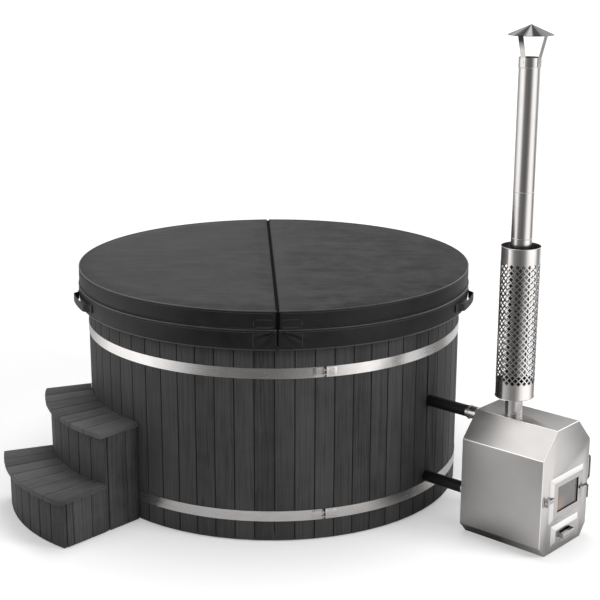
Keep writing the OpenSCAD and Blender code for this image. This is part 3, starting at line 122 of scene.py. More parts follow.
class CoverSettings(bpy.types.PropertyGroup):
    """The padded cover."""
    vinyl: FloatVectorProperty(name="Vinyl", description="Colour of the cover", subtype="COLOR",
                               size=3, min=0, max=1, default=(0.0366, 0.0351, 0.0357))
    voxel: FloatProperty(name="Cloth cell", description="Cell of the simulated skin", default=0.012,
                         min=0.01, max=0.03, unit="LENGTH")
    swell: FloatProperty(name="Swell", description="Most that the padded skin may move", default=0.007,
                         min=0.0, max=0.02, unit="LENGTH")
    piping: FloatProperty(name="Piping", description="Radius of the piping at edges and hems", default=0.0034,
                          min=0.002, max=0.006, unit="LENGTH")
    stitch: FloatProperty(name="Stitch", description="Pitch of the stitches", default=0.009, min=0.005,
                          max=0.02, unit="LENGTH")


class SteelSettings(bpy.types.PropertyGroup):
    """Steel parts and the heat guard's holes."""
    steel: FloatVectorProperty(name="Steel", description="Colour of the brushed steel", subtype="COLOR",
                               size=3, min=0, max=1, default=(0.60, 0.58, 0.568))
    guard_columns: IntProperty(name="Columns", description="Holes round the heat guard", default=20, min=12,
                               max=26)
    guard_rows: IntProperty(name="Rows", description="Pairs of staggered rows of holes", default=20, min=12,
                            max=24)
    guard_web: FloatProperty(name="Web", description="Steel left between two holes", default=0.0052,
                             min=0.003, max=0.009, unit="LENGTH")


class StageSettings(bpy.types.PropertyGroup):
    """Floor and lamps."""
    floor: FloatVectorProperty(name="Floor", description="Colour of the floor", subtype="COLOR",
                               size=3, min=0, max=1, default=(0.80, 0.80, 0.80))
    key: FloatProperty(name="Key lamp", description="Power of the key lamp", default=86.0, min=0,
                       unit="POWER")
    fill: FloatProperty(name="Fill lamp", description="Power of the fill lamp", default=155.0, min=0,
                        unit="POWER")
    glow: FloatProperty(name="Floor glow", description="The floor's own light for the camera", default=0.30,
                        min=0, max=1)
    sky: FloatProperty(name="Room light", description="Strength of the light all round", default=0.38, min=0)
    ring: FloatProperty(name="Softboxes", description="Strength of the softboxes mirrored in the steel",
                        default=1.6, min=0)


# Handwork

def at_stove(x, y, z):
    """A point given in the stove's own directions, in the row frame."""
    c, s = math.cos(STOVE_TURN), math.sin(STOVE_TURN)
    return Vector((STOVE_AT[0] + x * c - y * s, STOVE_AT[1] + x * s + y * c, z))


def round_point(r, turn, z):
    """A point on a circle round the tub's axis."""
    return Vector((r * math.cos(turn), r * math.sin(turn), z))


def setup(thing, **values):
    """Sets several properties of a modifier, a light or the like."""
    for key, value in values.items():
        setattr(thing, key, value)


def in_scene(name, data):
    """A new object in the scene."""
    obj = bpy.data.objects.new(name, data)
    bpy.context.scene.collection.objects.link(obj)
    return obj


def done():
    """Leaves edit mode."""
    bpy.ops.object.mode_set(mode="OBJECT")


def deselect():
    """Leaves nothing selected."""
    if bpy.context.mode != "OBJECT":
        done()
    bpy.ops.object.select_all(action="DESELECT")


def only(obj):
    """Leaves one object selected and active."""
    deselect()
    obj.select_set(True)
    bpy.context.view_layer.objects.active = obj
    return obj


def place_in_mesh(obj):
    """Puts an object's place, turn and scale into its mesh."""
    only(obj)
    bpy.ops.object.transform_apply(location=True, rotation=True, scale=True)
    return obj


def edit_all(obj):
    """Enters edit mode with the whole mesh selected."""
    only(obj)
    bpy.ops.object.mode_set(mode="EDIT")
    bpy.ops.mesh.select_all(action="SELECT")


def pick(obj, kind, test):
    """Enters edit mode with only what passes a test selected: of a face, or of an edge's two ends."""
    only(obj)
    bpy.ops.object.mode_set(mode="EDIT")
    bpy.ops.mesh.select_mode(type=kind)
    bpy.ops.mesh.select_all(action="DESELECT")
    done()
    mesh = obj.data
    if kind == "FACE":
        for p in mesh.polygons:
            p.select = test(p)
    else:
        for e in mesh.edges:
            e.select = test(*(mesh.vertices[i].co for i in e.vertices))
    bpy.ops.object.mode_set(mode="EDIT")


def outward(obj):
    """Turns a sheet's faces the same way, outwards."""
    edit_all(obj)
    bpy.ops.mesh.normals_make_consistent(inside=False)
    done()


def finish_with(obj, kind, **values):
    """Adds a modifier and applies it."""
    only(obj)
    m = obj.modifiers.new("step", kind)
    setup(m, **values)
    bpy.ops.object.modifier_apply(modifier=m.name)
    return obj


def smooth(obj, degrees):
    """Shades smooth all but the edges that are sharper than an angle."""
    only(obj)
    bpy.ops.object.shade_smooth_by_angle(angle=math.radians(degrees))
    return obj


def points_of(obj):
    """A mesh's points as rows of an array."""
    co = np.empty(len(obj.data.vertices) * 3)
    obj.data.vertices.foreach_get("co", co)
    return co.reshape(-1, 3)


def set_points(obj, co):
    """Moves a mesh's points."""
    obj.data.vertices.foreach_set("co", np.asarray(co, np.float32).ravel())
    obj.data.update()


def write_map(mesh, name, flat):
    """Gives a mesh one UV map, from the flat place of each point."""
    for layer in list(mesh.uv_layers):
        mesh.uv_layers.remove(layer)
    loops = np.empty(len(mesh.loops), int)
    mesh.loops.foreach_get("vertex_index", loops)
    mesh.uv_layers.new(name=name).data.foreach_set("uv", flat[loops].astype(np.float32).ravel())


def recolour(obj, material):
    """Gives an object one material."""
    obj.data.materials.clear()
    obj.data.materials.append(material)
    return obj


def finish_nodes(name, *nodes):
    """Gives CAD nodes one of the finishes."""
    for node in nodes:
        recolour(frame["nodes"][node], finish(name))


def second_finish(obj, name, test):
    """Gives the faces that pass a test a finish of their own."""
    obj.data.materials.append(finish(name))
    for p in obj.data.polygons:
        p.material_index = int(test(p))


def put_on(obj, body, name, slot, *stands_for):
    """Gives a piece its finish, the body that it rides on and the nodes that it stands for; its slot is not
    used.
    """
    recolour(obj, finish(name))
    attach(obj, body)
    if stands_for:
        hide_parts(*stands_for)
    return obj


def stand_for(obj, node, name, slot):
    """Gives a piece the body and the place of the CAD node that it was made from."""
    return put_on(obj, frame["nodes"][node]["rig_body"], name, slot, node)


def merged_copy(node, name):
    """A copy of a CAD node whose loose triangles are joined and whose flats are whole again."""
    obj = only(in_scene(name, frame["nodes"][node].data.copy()))
    if obj.data.has_custom_normals:
        bpy.ops.mesh.customdata_custom_splitnormals_clear()
    edit_all(obj)
    bpy.ops.mesh.remove_doubles(threshold=0.00001)
    bpy.ops.mesh.dissolve_limited(angle_limit=math.radians(0.5))
    done()
    return obj


def soften(node, name, slot, edge, steps=2):
    """A merged copy of a CAD node with softened edges, which stands for it."""
    obj = merged_copy(node, node + "_finished")
    finish_with(obj, "BEVEL", width=edge, segments=steps, limit_method="ANGLE",
                angle_limit=math.radians(28), use_clamp_overlap=False, miter_outer="MITER_SHARP")
    return stand_for(smooth(obj, 35), node, name, slot)


def painted_edge_highlights(casing):
    """Gives the narrow faces along the casing's upper edges a brighter finish, a painted highlight."""
    co, width, low = points_of(casing), 0.002, 0.16

    def narrow(p):
        ring = co[list(p.vertices)]
        girth = np.linalg.norm(ring - np.roll(ring, 1, 0), axis=1).sum()
        return p.center.z > low and 2 * p.area / girth < width

    second_finish(casing, "ground seam steel", narrow)


def painted_highlight_slopes(front):
    """Gives the pressed slopes round a front, neither flat nor square to it, a brighter finish, a painted
    highlight.
    """
    out = (at_stove(1, 0, 0) - at_stove(0, 0, 0)).normalized()
    second_finish(front, "bright bevel steel", lambda p: 0.45 < p.normal.dot(out) < 0.97 and p.area > 0.0003)


def loose_parts(obj):
    """The rows of points that belong to each loose board."""
    parent = list(range(len(obj.data.vertices)))

    def root(i):
        while parent[i] != i:
            parent[i] = parent[parent[i]]
            i = parent[i]
        return i

    for e in obj.data.edges:
        a, b = root(e.vertices[0]), root(e.vertices[1])
        if a != b:
            parent[b] = a
    parts = {}
    for i in range(len(parent)):
        parts.setdefault(root(i), []).append(i)
    return [np.array(rows) for rows in parts.values()]


def mark_boards(obj, seed, upright):
    """Gives each loose board a grain map along its length and a tone of its own."""
    co, rng = points_of(obj), np.random.default_rng(seed)
    along, tones = np.zeros((len(co), 2)), np.zeros(len(co))
    for rows in loose_parts(obj):
        p = co[rows] - co[rows].mean(0)
        if upright:
            a = np.array((0.0, 0.0, 1.0))
            b = np.array((*np.linalg.eigh(p[:, :2].T @ p[:, :2])[1][:, 1], 0.0))
        else:
            ways = np.linalg.eigh(p.T @ p)[1]
            a, b = ways[:, 2], ways[:, 1]
        along[rows] = np.stack([p @ a, p @ b + p @ np.cross(a, b) * 0.9], 1) + rng.uniform(-40, 40, 2)
        tones[rows] = rng.uniform()
    write_map(obj.data, "grain", along)
    tone = obj.data.attributes.new("tone", "FLOAT", "POINT")
    tone.data.foreach_set("value", tones.astype(np.float32))


def draw_in(obj, gap, upright):
    """Makes each loose board narrower, so that a dark joint is left to its neighbour."""
    co = points_of(obj)
    for rows in loose_parts(obj):
        flat = (co[rows] - co[rows].mean(0))[:, :2]
        across = np.linalg.eigh(flat.T @ flat)[1][:, 1 if upright else 0]
        far = flat @ across
        middle, width = (far.max() + far.min()) / 2, max(far.max() - far.min(), 0.02)
        co[rows, :2] -= np.outer((far - middle) * gap / width, across)
    set_points(obj, co)


def board_set(node, name, seed, edge, upright=False, gap=0.0, slot="stained_wood"):
    """A CAD node's boards with softened edges, their own grain and their own tone."""
    obj = merged_copy(node, node + "_boards")
    if gap:
        draw_in(obj, gap, upright)
    finish_with(obj, "BEVEL", width=edge, segments=2, limit_method="ANGLE", angle_limit=math.radians(24),
                use_clamp_overlap=False)
    mark_boards(obj, seed, upright)
    return stand_for(smooth(obj, 40), node, name, slot)


def grid(name, columns, rows):
    """A flat grid that is 1 long and 1 wide."""
    deselect()
    bpy.ops.mesh.primitive_grid_add(x_subdivisions=columns, y_subdivisions=rows, size=1)
    obj = bpy.context.active_object
    obj.name = name
    return obj


def run_along(points):
    """A line's points as rows, and how far along the line each one is."""
    line = np.array([list(p) for p in points])
    return line, np.concatenate([[0], np.cumsum(np.linalg.norm(np.diff(line, axis=0), axis=1))])


def ribbon(name, path, across, half_w, thick, columns):
    """A flat strap along a path of points, with its width across it in one direction."""
    obj = grid(name, len(path) - 1, columns)
    co, (line, far) = points_of(obj), run_along(path)
    order = np.clip(np.round((co[:, 0] + 0.5) * (len(path) - 1)).astype(int), 0, len(path) - 1)
    set_points(obj, line[order] + np.outer(co[:, 1] * 2 * half_w, across))
    write_map(obj.data, "cloth", np.stack([far[order], co[:, 1] * 2 * half_w], 1))
    return finish_with(obj, "SOLIDIFY", thickness=thick, offset=0)


def tube(name, points, radius, closed=False):
    """A round bead along a line of points, as a mesh."""
    curve = bpy.data.curves.new(name, "CURVE")
    setup(curve, dimensions="3D", bevel_depth=radius, bevel_resolution=3, use_fill_caps=True)
    spline = curve.splines.new("POLY")
    spline.points.add(len(points) - 1)
    for p, q in zip(spline.points, points):
        p.co = (*q, 1)
    spline.use_cyclic_u = closed
    only(in_scene(name, curve))
    bpy.ops.object.convert(target="MESH")
    return smooth(bpy.context.active_object, 60)


def join(name, objects):
    """Makes several objects one."""
    deselect()
    for o in objects:
        o.select_set(True)
    bpy.context.view_layer.objects.active = objects[0]
    bpy.ops.object.join()
    objects[0].name = name
    return objects[0]


# Finishes

def feed(tree, inputs, values):
    """Sets inputs, each to a value or from a socket."""
    for key, value in values.items():
        if isinstance(value, bpy.types.NodeSocket):
            tree.links.new(value, inputs[key])
        else:
            inputs[key].default_value = value


def put(tree, kind, values=None, **props):
    """A shader node with its properties and its inputs; returns its outputs."""
    n = tree.nodes.new("ShaderNode" + kind)
    setup(n, **props)
    feed(tree, n.inputs, values or {})
    return n.outputs


def calc(tree, operation, *values):
    """A sum on numbers or sockets."""
    return put(tree, "Math", dict(enumerate(values)), operation=operation)[0]


def vector_calc(tree, operation, *values, out="Vector"):
    """A sum on vectors, which gives a vector or, with out="Value", a number."""
    return put(tree, "VectorMath", dict(enumerate(values)), operation=operation)[out]


def remap(tree, value, low, high, bottom=0.0, top=1.0, **props):
    """A value's way from low to high, as bottom to top."""
    return put(tree, "MapRange", {"Value": value, "From Min": low, "From Max": high,
                                  "To Min": bottom, "To Max": top}, **props)[0]


def cloud(tree, vector, scale, detail=2.0, **more):
    """Noise from 0 to 1."""
    return put(tree, "TexNoise", {"Vector": vector, "Scale": scale, "Detail": detail, **more})[0]


def mapped(tree, vector, scale):
    """A vector scaled along each of its ways."""
    return put(tree, "Mapping", {"Vector": vector, "Scale": scale})[0]


def object_place(tree):
    """The place on the object, in metres."""
    return put(tree, "TexCoord")["Object"]


def bearing(tree, vector):
    """A vector's turn round Z, in radians."""
    xyz = put(tree, "SeparateXYZ", {0: vector})
    return calc(tree, "ARCTAN2", xyz["Y"], xyz["X"])


def bearing_ramp(tree, vector, stops):
    """A level for each bearing, eased between stops of degrees and level."""
    n = tree.nodes.new("ShaderNodeValToRGB")
    feed(tree, n.inputs, {0: remap(tree, bearing(tree, vector), -math.pi, math.pi)})
    n.color_ramp.interpolation = "EASE"
    points = n.color_ramp.elements
    while len(points) < len(stops):
        points.new(0.5)
    for point, (degrees, level) in zip(points, stops):
        point.position = (degrees + 180) / 360
        point.color = (level, level, level, 1)
    return n.outputs[0]


def mix_colours(tree, share, a, b):
    """Two colours mixed by a share."""
    n = tree.nodes.new("ShaderNodeMix")
    n.data_type = "RGBA"
    feed(tree, {s.name: s for s in n.inputs if s.enabled}, {"Factor": share, "A": a, "B": b})
    return next(s for s in n.outputs if s.enabled)


def times(colour, share):
    """A colour made lighter or darker."""
    return [c * share for c in colour]


def shade(colour, share, extra=0.0):
    """A colour made lighter or darker, not past white, with its alpha."""
    return [min(1, c * share + extra) for c in colour] + [1]


def effect(name, ins, outs):
    """An empty node group: its inputs' label, kind and default, and its outputs' label and kind."""
    g = bpy.data.node_groups.new(name, "ShaderNodeTree")
    for label, kind, value in ins:
        s = g.interface.new_socket(label, in_out="INPUT", socket_type="NodeSocket" + kind)
        if value is not None:
            s.default_value = value
    for label, kind in outs:
        g.interface.new_socket(label, in_out="OUTPUT", socket_type="NodeSocket" + kind)
    return g, g.nodes.new("NodeGroupInput").outputs, g.nodes.new("NodeGroupOutput").inputs


def timber_effect(name):
    """Grain along X of its vector, in metres, for stained softwood."""
    g, i, o = effect(name, [("Vector", "Vector", None), ("Tone", "Float", 0.5),
                            ("Dark", "Color", (0.03, 0.03, 0.03, 1)),
                            ("Light", "Color", (0.08, 0.08, 0.08, 1)), ("Knots", "Float", 1.0)],
                     [("Color", "Color"), ("Height", "Float"), ("Roughness", "Float")])
    warp = put(g, "TexNoise", {"Vector": i["Vector"], "Scale": 3.0})["Color"]
    bent = vector_calc(g, "ADD", i["Vector"], vector_calc(g, "MULTIPLY", warp, (0.0, 0.03, 0.0)))
    lines = cloud(g, mapped(g, bent, (5, 330, 1)), 1.0, 4.0, Roughness=0.65)
    rings = cloud(g, mapped(g, bent, (2, 120, 1)), 1.0, 3.0, Distortion=0.6)
    blots = cloud(g, i["Vector"], 4.0, 3.0)
    depth = calc(g, "MULTIPLY", lines, 0.50)
    for pattern, weight in ((rings, 0.55), (blots, 0.30), (i["Tone"], 0.16)):
        depth = calc(g, "MULTIPLY_ADD", pattern, weight, depth)
    board = mix_colours(g, remap(g, depth, 0.56, 0.92), i["Dark"], i["Light"])
    cells = put(g, "TexVoronoi", {"Vector": mapped(g, i["Vector"], (1.3, 5.5, 1)), "Scale": 1.0})
    knot = calc(g, "MULTIPLY", remap(g, cells["Distance"], 0.030, 0.055, 1.0, 0.0), i["Knots"])
    feed(g, o, {"Color": mix_colours(g, calc(g, "MULTIPLY", knot, 0.6), board, (0.008, 0.0075, 0.007, 1)),
                "Height": calc(g, "MULTIPLY_ADD", rings, 0.4, calc(g, "MULTIPLY", lines, 0.6)),
                "Roughness": remap(g, lines, 0.3, 0.7, 0.62, 0.82)})
    return g


def wear_and_highlight_effect(name):
    """A mask that is 1 on raised edges, broken up by patches: real wear on the wood, a painted highlight on
    the steel.
    """
    g, i, o = effect(name, [("Amount", "Float", 0.5)], [("Mask", "Float")])
    edge = remap(g, put(g, "NewGeometry")["Pointiness"], 0.515, 0.60)
    patch = remap(g, cloud(g, object_place(g), 14.0, 4.0), 0.35, 0.65, 0.25, 1.0)
    feed(g, o, {"Mask": calc(g, "MULTIPLY", calc(g, "MULTIPLY", edge, patch), i["Amount"])})
    return g


def brushed_effect(name):
    """Fine brush lines and a slow change of gloss for steel."""
    g, i, o = effect(name, [("Vector", "Vector", None), ("Lines", "Vector", (4.0, 4.0, 400.0))],
                     [("Streak", "Float"), ("Cloud", "Float")])
    scaled = vector_calc(g, "MULTIPLY", i["Vector"], i["Lines"])
    feed(g, o, {"Streak": cloud(g, scaled, 1.0, 3.0, Roughness=0.6),
                "Cloud": cloud(g, i["Vector"], 5.0, 3.0)})
    return g


def leather_effect(name):
    """Pebbled grain, slow mottling and rubbed streaks for vinyl."""
    g, i, o = effect(name, [("Vector", "Vector", None), ("Pebble", "Float", 520.0)],
                     [("Height", "Float"), ("Mottle", "Float"), ("Scuff", "Float")])
    cells = put(g, "TexVoronoi", {"Vector": i["Vector"], "Scale": i["Pebble"], "Randomness": 0.9},
                feature="SMOOTH_F1")
    drawn = vector_calc(g, "MULTIPLY", i["Vector"], (3.0, 22.0, 9.0))
    feed(g, o, {"Height": cells["Distance"], "Mottle": cloud(g, i["Vector"], 8.0, 9.0, Roughness=0.72),
                "Scuff": cloud(g, drawn, 1.0, 5.0)})
    return g


def weave_effect(name):
    """Ribs of a plain weave, with warp along X of its vector."""
    g, i, o = effect(name, [("Vector", "Vector", None), ("Threads", "Float", 700.0)],
                     [("Height", "Float"), ("Shade", "Float")])
    warp, weft = (put(g, "TexWave", {"Vector": i["Vector"], "Scale": i["Threads"]}, bands_direction=way)
                  for way in "XY")
    feed(g, o, {"Height": calc(g, "MULTIPLY", warp["Fac"], weft["Fac"]),
                "Shade": cloud(g, i["Vector"], 60.0)})
    return g


def ring_effect(name):
    """The softboxes round the studio by bearing, as the steel mirrors them."""
    g, i, o = effect(name, [("Vector", "Vector", None)], [("Strength", "Float")])
    level = bearing_ramp(g, i["Vector"], (
        (-180, 0.92), (-160, 1.0), (-148, 0.78), (-138, 0.40), (-126, 0.14), (-90, 0.09), (-74, 0.14),
        (-62, 0.38), (-52, 0.80), (-40, 1.0), (-20, 1.0), (-9, 0.72), (3, 0.20), (18, 0.16), (30, 0.50),
        (44, 0.58), (66, 0.46), (78, 0.16), (88, 0.20), (93, 0.90), (98, 0.85), (105, 0.16),
        (122, 0.34), (136, 0.32), (152, 0.50), (166, 0.84), (180, 0.92)))
    feed(g, o, {"Strength": level})
    return g


def group_in(tree, name, build, values):
    """Places an effect, built once, with values of its own; returns its outputs."""
    return put(tree, "Group", values, node_tree=bpy.data.node_groups.get(name) or build(name))


def new_finish(name, **sockets):
    """A material with the shader's own constants set."""
    m = bpy.data.materials.new(name)
    m.use_nodes = True
    shader = m.node_tree.nodes["Principled BSDF"]
    feed(m.node_tree, shader.inputs, {key.replace("_", " "): value for key, value in sockets.items()})
    return m, m.node_tree, shader.inputs


def bump(tree, height, strength, distance):
    """A normal that rises and falls with a height."""
    return put(tree, "Bump", {"Height": height, "Strength": strength, "Distance": distance})[0]


def over(m, share, colour):
    """Lays a colour over a finish's own, by a share."""
    base = m.node_tree.nodes["Principled BSDF"].inputs["Base Color"]
    feed(m.node_tree, {0: base}, {0: mix_colours(m.node_tree, share, base.links[0].from_socket, colour)})
    return m


def wood_finish(name, colour, wear=0.35, knots=1.0, spread=0.68, seams=False):
    """Stained softwood that reads its boards' grain map and tone."""
    m, t, shader = new_finish(name, Specular_IOR_Level=0.35)
    grain, tone = put(t, "UVMap", uv_map="grain")[0], put(t, "Attribute", attribute_name="tone")["Fac"]
    w = group_in(t, "Timber grain", timber_effect, {
        "Vector": grain, "Tone": tone, "Knots": knots,
        "Dark": shade(colour, 1 - spread), "Light": shade(colour, 1 + spread)})
    wear_and_highlight = group_in(t, "Edge wear", wear_and_highlight_effect, {"Amount": wear})["Mask"]
    surface = mix_colours(t, wear_and_highlight, w["Color"], shade(colour, 2.2, 0.02))
    if seams:
        # With seams, hollows found by pointiness are darkened with painted shade.
        painted_crease_shade = remap(t, put(t, "NewGeometry")["Pointiness"], 0.40, 0.49, 1.0, 0.0)
        surface = mix_colours(t, painted_crease_shade, surface, (0.010, 0.010, 0.010, 1))
    feed(t, shader, {"Base Color": surface, "Roughness": w["Roughness"],
                     "Normal": bump(t, w["Height"], 0.35, 0.0012)})
    return m


def stave_finish(name, colour, seam):
    """Upright boards round the tub, with painted shade darkening the grooves between neighbours."""
    m = wood_finish(name, colour, wear=0.25, knots=0.8)
    t = m.node_tree
    share = calc(t, "MULTIPLY", bearing(t, object_place(t)), STAVES / (2 * math.pi))
    off = calc(t, "ABSOLUTE", calc(t, "SUBTRACT", calc(t, "FRACT", share), 0.5))
    # The dark lines at the stave edges are painted shade in the grooves.
    return over(m, remap(t, off, 0.458, 0.478), (*seam, 1))


def steel_finish(name, colour, rough, lines):
    """Stainless steel with brush marks."""
    m, t, shader = new_finish(name, Metallic=1.0)
    b = group_in(t, "Brushed lines", brushed_effect, {"Vector": object_place(t), "Lines": lines})
    fine = remap(t, b["Streak"], 0.25, 0.75, rough - 0.05, rough + 0.05)
    slow = remap(t, b["Cloud"], 0.3, 0.7, -0.04, 0.05)
    tint = mix_colours(t, b["Streak"], shade(colour, 0.93), shade(colour, 1.06))
    # The pale edges on steel are a painted highlight.
    wear_and_highlight = group_in(t, "Edge wear", wear_and_highlight_effect, {"Amount": 0.2})["Mask"]
    feed(t, shader, {"Base Color": mix_colours(t, wear_and_highlight, tint, (0.85, 0.85, 0.85, 1)),
                     "Roughness": calc(t, "ADD", fine, slow), "Normal": bump(t, b["Streak"], 0.15, 0.00006)})
    return m


def painted_guard_shade_finish(name, colour):
    """Polished pipe darkened with painted shade where it stands inside the guard."""
    m = steel_finish(name, colour, 0.22, UPRIGHT)
    t = m.node_tree
    z = put(t, "SeparateXYZ", {0: object_place(t)})["Z"]
    share = calc(t, "MULTIPLY", remap(t, z, 0.74, 0.80), remap(t, z, 1.45, 1.40))
    return over(m, share, shade(colour, 0.36))


def painted_shade_strap_finish(name, colour):
    """Bent straps of the cap, the left ones darkened towards their upper ends by painted shade."""
    m = steel_finish(name, colour, 0.34, LEVEL)
    t = m.node_tree
    xyz = put(t, "SeparateXYZ", {0: object_place(t)})
    share = calc(t, "MULTIPLY", remap(t, xyz["Z"], 2.385, 2.43), remap(t, xyz["X"], 1.18, 1.16))
    return over(m, share, shade(colour, 0.06))


def painted_rays_finish(name, colour):
    """Spun steel, with light and dark rays from the cap's tip painted in as reflection."""
    m = steel_finish(name, colour, 0.24, UPRIGHT)
    t = m.node_tree
    from_tip = vector_calc(t, "SUBTRACT", object_place(t), at_stove(*FLUE_AT, 0))
    light = bearing_ramp(t, from_tip, (
        (-180, 0.46), (-152, 0.40), (-140, 0.03), (-122, 0.0), (-115, 0.5), (-109, 1.0), (-100, 1.0),
        (-94, 0.04), (-80, 0.02), (-68, 0.36), (-36, 0.50), (-6, 0.32), (70, 0.9), (120, 0.1), (180, 0.46)))
    return over(m, calc(t, "SUBTRACT", 1.0, light), shade(colour, 0.02))


def vinyl_finish(name, colour, rough=0.52, gloss=0.05):
    """Charcoal marine vinyl."""
    m, t, shader = new_finish(name, Specular_IOR_Level=gloss)
    v = group_in(t, "Leather grain", leather_effect, {"Vector": object_place(t)})
    base = mix_colours(t, remap(t, v["Mottle"], 0.36, 0.64), shade(colour, 0.64), shade(colour, 1.38))
    rub = remap(t, v["Scuff"], 0.50, 0.72, 0.0, 0.45)
    feed(t, shader, {"Base Color": mix_colours(t, rub, base, shade(colour, 1.6)),
                     "Roughness": remap(t, v["Mottle"], 0.3, 0.7, rough - 0.05, rough + 0.08),
                     "Normal": bump(t, v["Height"], 0.25, 0.0005)})
    return m


def webbing_finish(name, colour):
    """Woven polypropylene webbing."""
    m, t, shader = new_finish(name, Sheen_Weight=0.1)
    w = group_in(t, "Plain weave", weave_effect, {"Vector": put(t, "UVMap", uv_map="cloth")[0],
                                                  "Threads": 160.0})
    feed(t, shader, {"Base Color": mix_colours(t, w["Height"], shade(colour, 0.6), shade(colour, 1.5)),
                     "Roughness": remap(t, w["Shade"], 0.0, 1.0, 0.6, 0.85),
                     "Normal": bump(t, w["Height"], 0.5, 0.0006)})
    return m


def plain_finish(name, colour, rough, grain, spread=0.15, **more):
    """Moulded, cast or painted surfaces, with fine mottling and bump."""
    m, t, shader = new_finish(name, **more)
    place = object_place(t)
    fine, slow = cloud(t, place, grain, 5.0), cloud(t, place, 6.0, 3.0)
    feed(t, shader, {"Base Color": mix_colours(t, slow, shade(colour, 1 - spread), shade(colour, 1 + spread)),
                     "Roughness": remap(t, fine, 0.3, 0.7, rough - 0.06, min(1, rough + 0.06)),
                     "Normal": bump(t, fine, 0.3, 0.0003)})
    return m


def glass_finish(name):
    """Smoked ceramic glass with soot, and a faint warm glow painted into it."""
    m, t, shader = new_finish(name, Transmission_Weight=0.25, IOR=1.5, Emission_Strength=1.0)
    place = object_place(t)
    soot = cloud(t, place, 16.0, 4.0)
    from_painted_glow = vector_calc(t, "DISTANCE", place, at_stove(0.466, -0.080, 0.228), out="Value")
    glow = remap(t, from_painted_glow, 0.0, 0.085, 1.0, 0.0, interpolation_type="SMOOTHSTEP")
    painted_glow_colour = mix_colours(t, calc(t, "MULTIPLY", glow, soot), (0.055, 0.053, 0.050, 1), (0.38, 0.17, 0.085, 1))
    feed(t, shader, {"Base Color": mix_colours(t, soot, (0.060, 0.056, 0.052, 1), (0.15, 0.14, 0.13, 1)),
                     "Roughness": remap(t, soot, 0.0, 1.0, 0.08, 0.26), "Emission Color": painted_glow_colour})
    return m


def finish(name):
    """A finish of this object, built once: its maker, then its colour and further values."""
    if name in bpy.data.materials:
        return bpy.data.materials[name]
    scene = bpy.context.scene
    wood, vinyl, steel = scene.tub_wood, scene.tub_cover.vinyl, scene.tub_steel.steel
    build, *values = {
        "stained staves": (stave_finish, wood.stain, wood.seam),
        "stained boards": (wood_finish, wood.stain, {"seams": True}),
        "pale side boards": (wood_finish, times(wood.stain, 1.32), {"wear": 0.3}),
        "weathered treads": (wood_finish, wood.tread, {"wear": 0.3, "seams": True}),
        "raw pine": (wood_finish, (0.42, 0.28, 0.16), {"wear": 0.1, "spread": 0.25}),
        "brushed band steel": (steel_finish, steel, 0.26, (5, 5, 600)),
        "brushed sheet steel": (steel_finish, times(steel, 0.83), 0.34, LEVEL),
        "pressed door steel": (steel_finish, times(steel, 0.72), 0.34, LEVEL),
        "bright bevel steel": (steel_finish, (0.66, 0.65, 0.64), 0.42, LEVEL),
        "ground seam steel": (steel_finish, (0.88, 0.87, 0.86), 0.30, EVEN),
        "dark plated steel": (steel_finish, (0.16, 0.16, 0.165), 0.35, EVEN),
        "polished pipe steel": (steel_finish, steel, 0.20, UPRIGHT),
        "guard steel": (steel_finish, times(steel, 1.05), 0.22, UPRIGHT),
        "smoked steel": (steel_finish, times(steel, 0.22), 0.40, UPRIGHT),
        "heated pipe steel": (painted_guard_shade_finish, steel),
        "strap steel": (painted_shade_strap_finish, steel),
        "spun cap steel": (painted_rays_finish, steel),
        "charcoal vinyl": (vinyl_finish, vinyl),
        "side vinyl": (vinyl_finish, times(vinyl, 0.30), 0.50, 0.22),
        "piping vinyl": (vinyl_finish, vinyl, 0.30, 0.5),
        "fold vinyl": (plain_finish, (0.004, 0.004, 0.004), 0.9, 200.0, {"Specular_IOR_Level": 0.05}),
        "black webbing": (webbing_finish, (0.008, 0.008, 0.0085)),
        "stitch thread": (plain_finish, (0.070, 0.070, 0.070), 0.7, 900.0),
        "black hose rubber": (plain_finish, (0.005, 0.005, 0.0055), 0.42, 350.0, {"Specular_IOR_Level": 0.3}),
        "liner plastic": (plain_finish, (0.60, 0.61, 0.62), 0.28, 30.0, 0.03),
        "insulation foam": (plain_finish, (0.70, 0.62, 0.42), 0.9, 240.0),
        "drain plastic": (plain_finish, (0.10, 0.105, 0.11), 0.45, 120.0),
        "firebox paint": (plain_finish, (0.014, 0.013, 0.013), 0.85, 90.0, 0.4),
        "cast iron": (plain_finish, (0.03, 0.029, 0.028), 0.75, 160.0, 0.3, {"Metallic": 0.4}),
        "glass rope": (plain_finish, (0.012, 0.011, 0.010), 0.95, 500.0, 0.3, {"Specular_IOR_Level": 0.1}),
        "smoked glass": (glass_finish,),
    }[name]
    options = values.pop() if values and isinstance(values[-1], dict) else {}
    return build(name, *values, **options)


# The tub

class HOTTUB_OT_staves(bpy.types.Operator):
    """Model the wall's staves, the rim boards and the base's boards"""
    bl_idname = "hottub.staves"
    bl_label = "Staves, rim and base"

    def execute(self, context):
        edge = context.scene.tub_wood.edge_round
        board_set("wall_staves", "stained staves", 11, edge, upright=True)
        board_set("rim_boards", "stained boards", 12, edge)
        for seed, node in enumerate(("floor_boards", "base_joists", "bench_supports"), 20):
            board_set(node, "raw pine", seed, edge, slot="raw_wood")
        return {"FINISHED"}


class HOTTUB_OT_bands(bpy.types.Operator):
    """Finish the steel bands, their clasps, bolts and rivets"""
    bl_idname = "hottub.bands"
    bl_label = "Bands and clasps"

    def execute(self, context):
        finish_nodes("brushed band steel", "tub_bands", "clasp_bolts", "steel_rivets")
        soften("band_clasps", "brushed band steel", "brushed_steel", 0.0005)
        return {"FINISHED"}


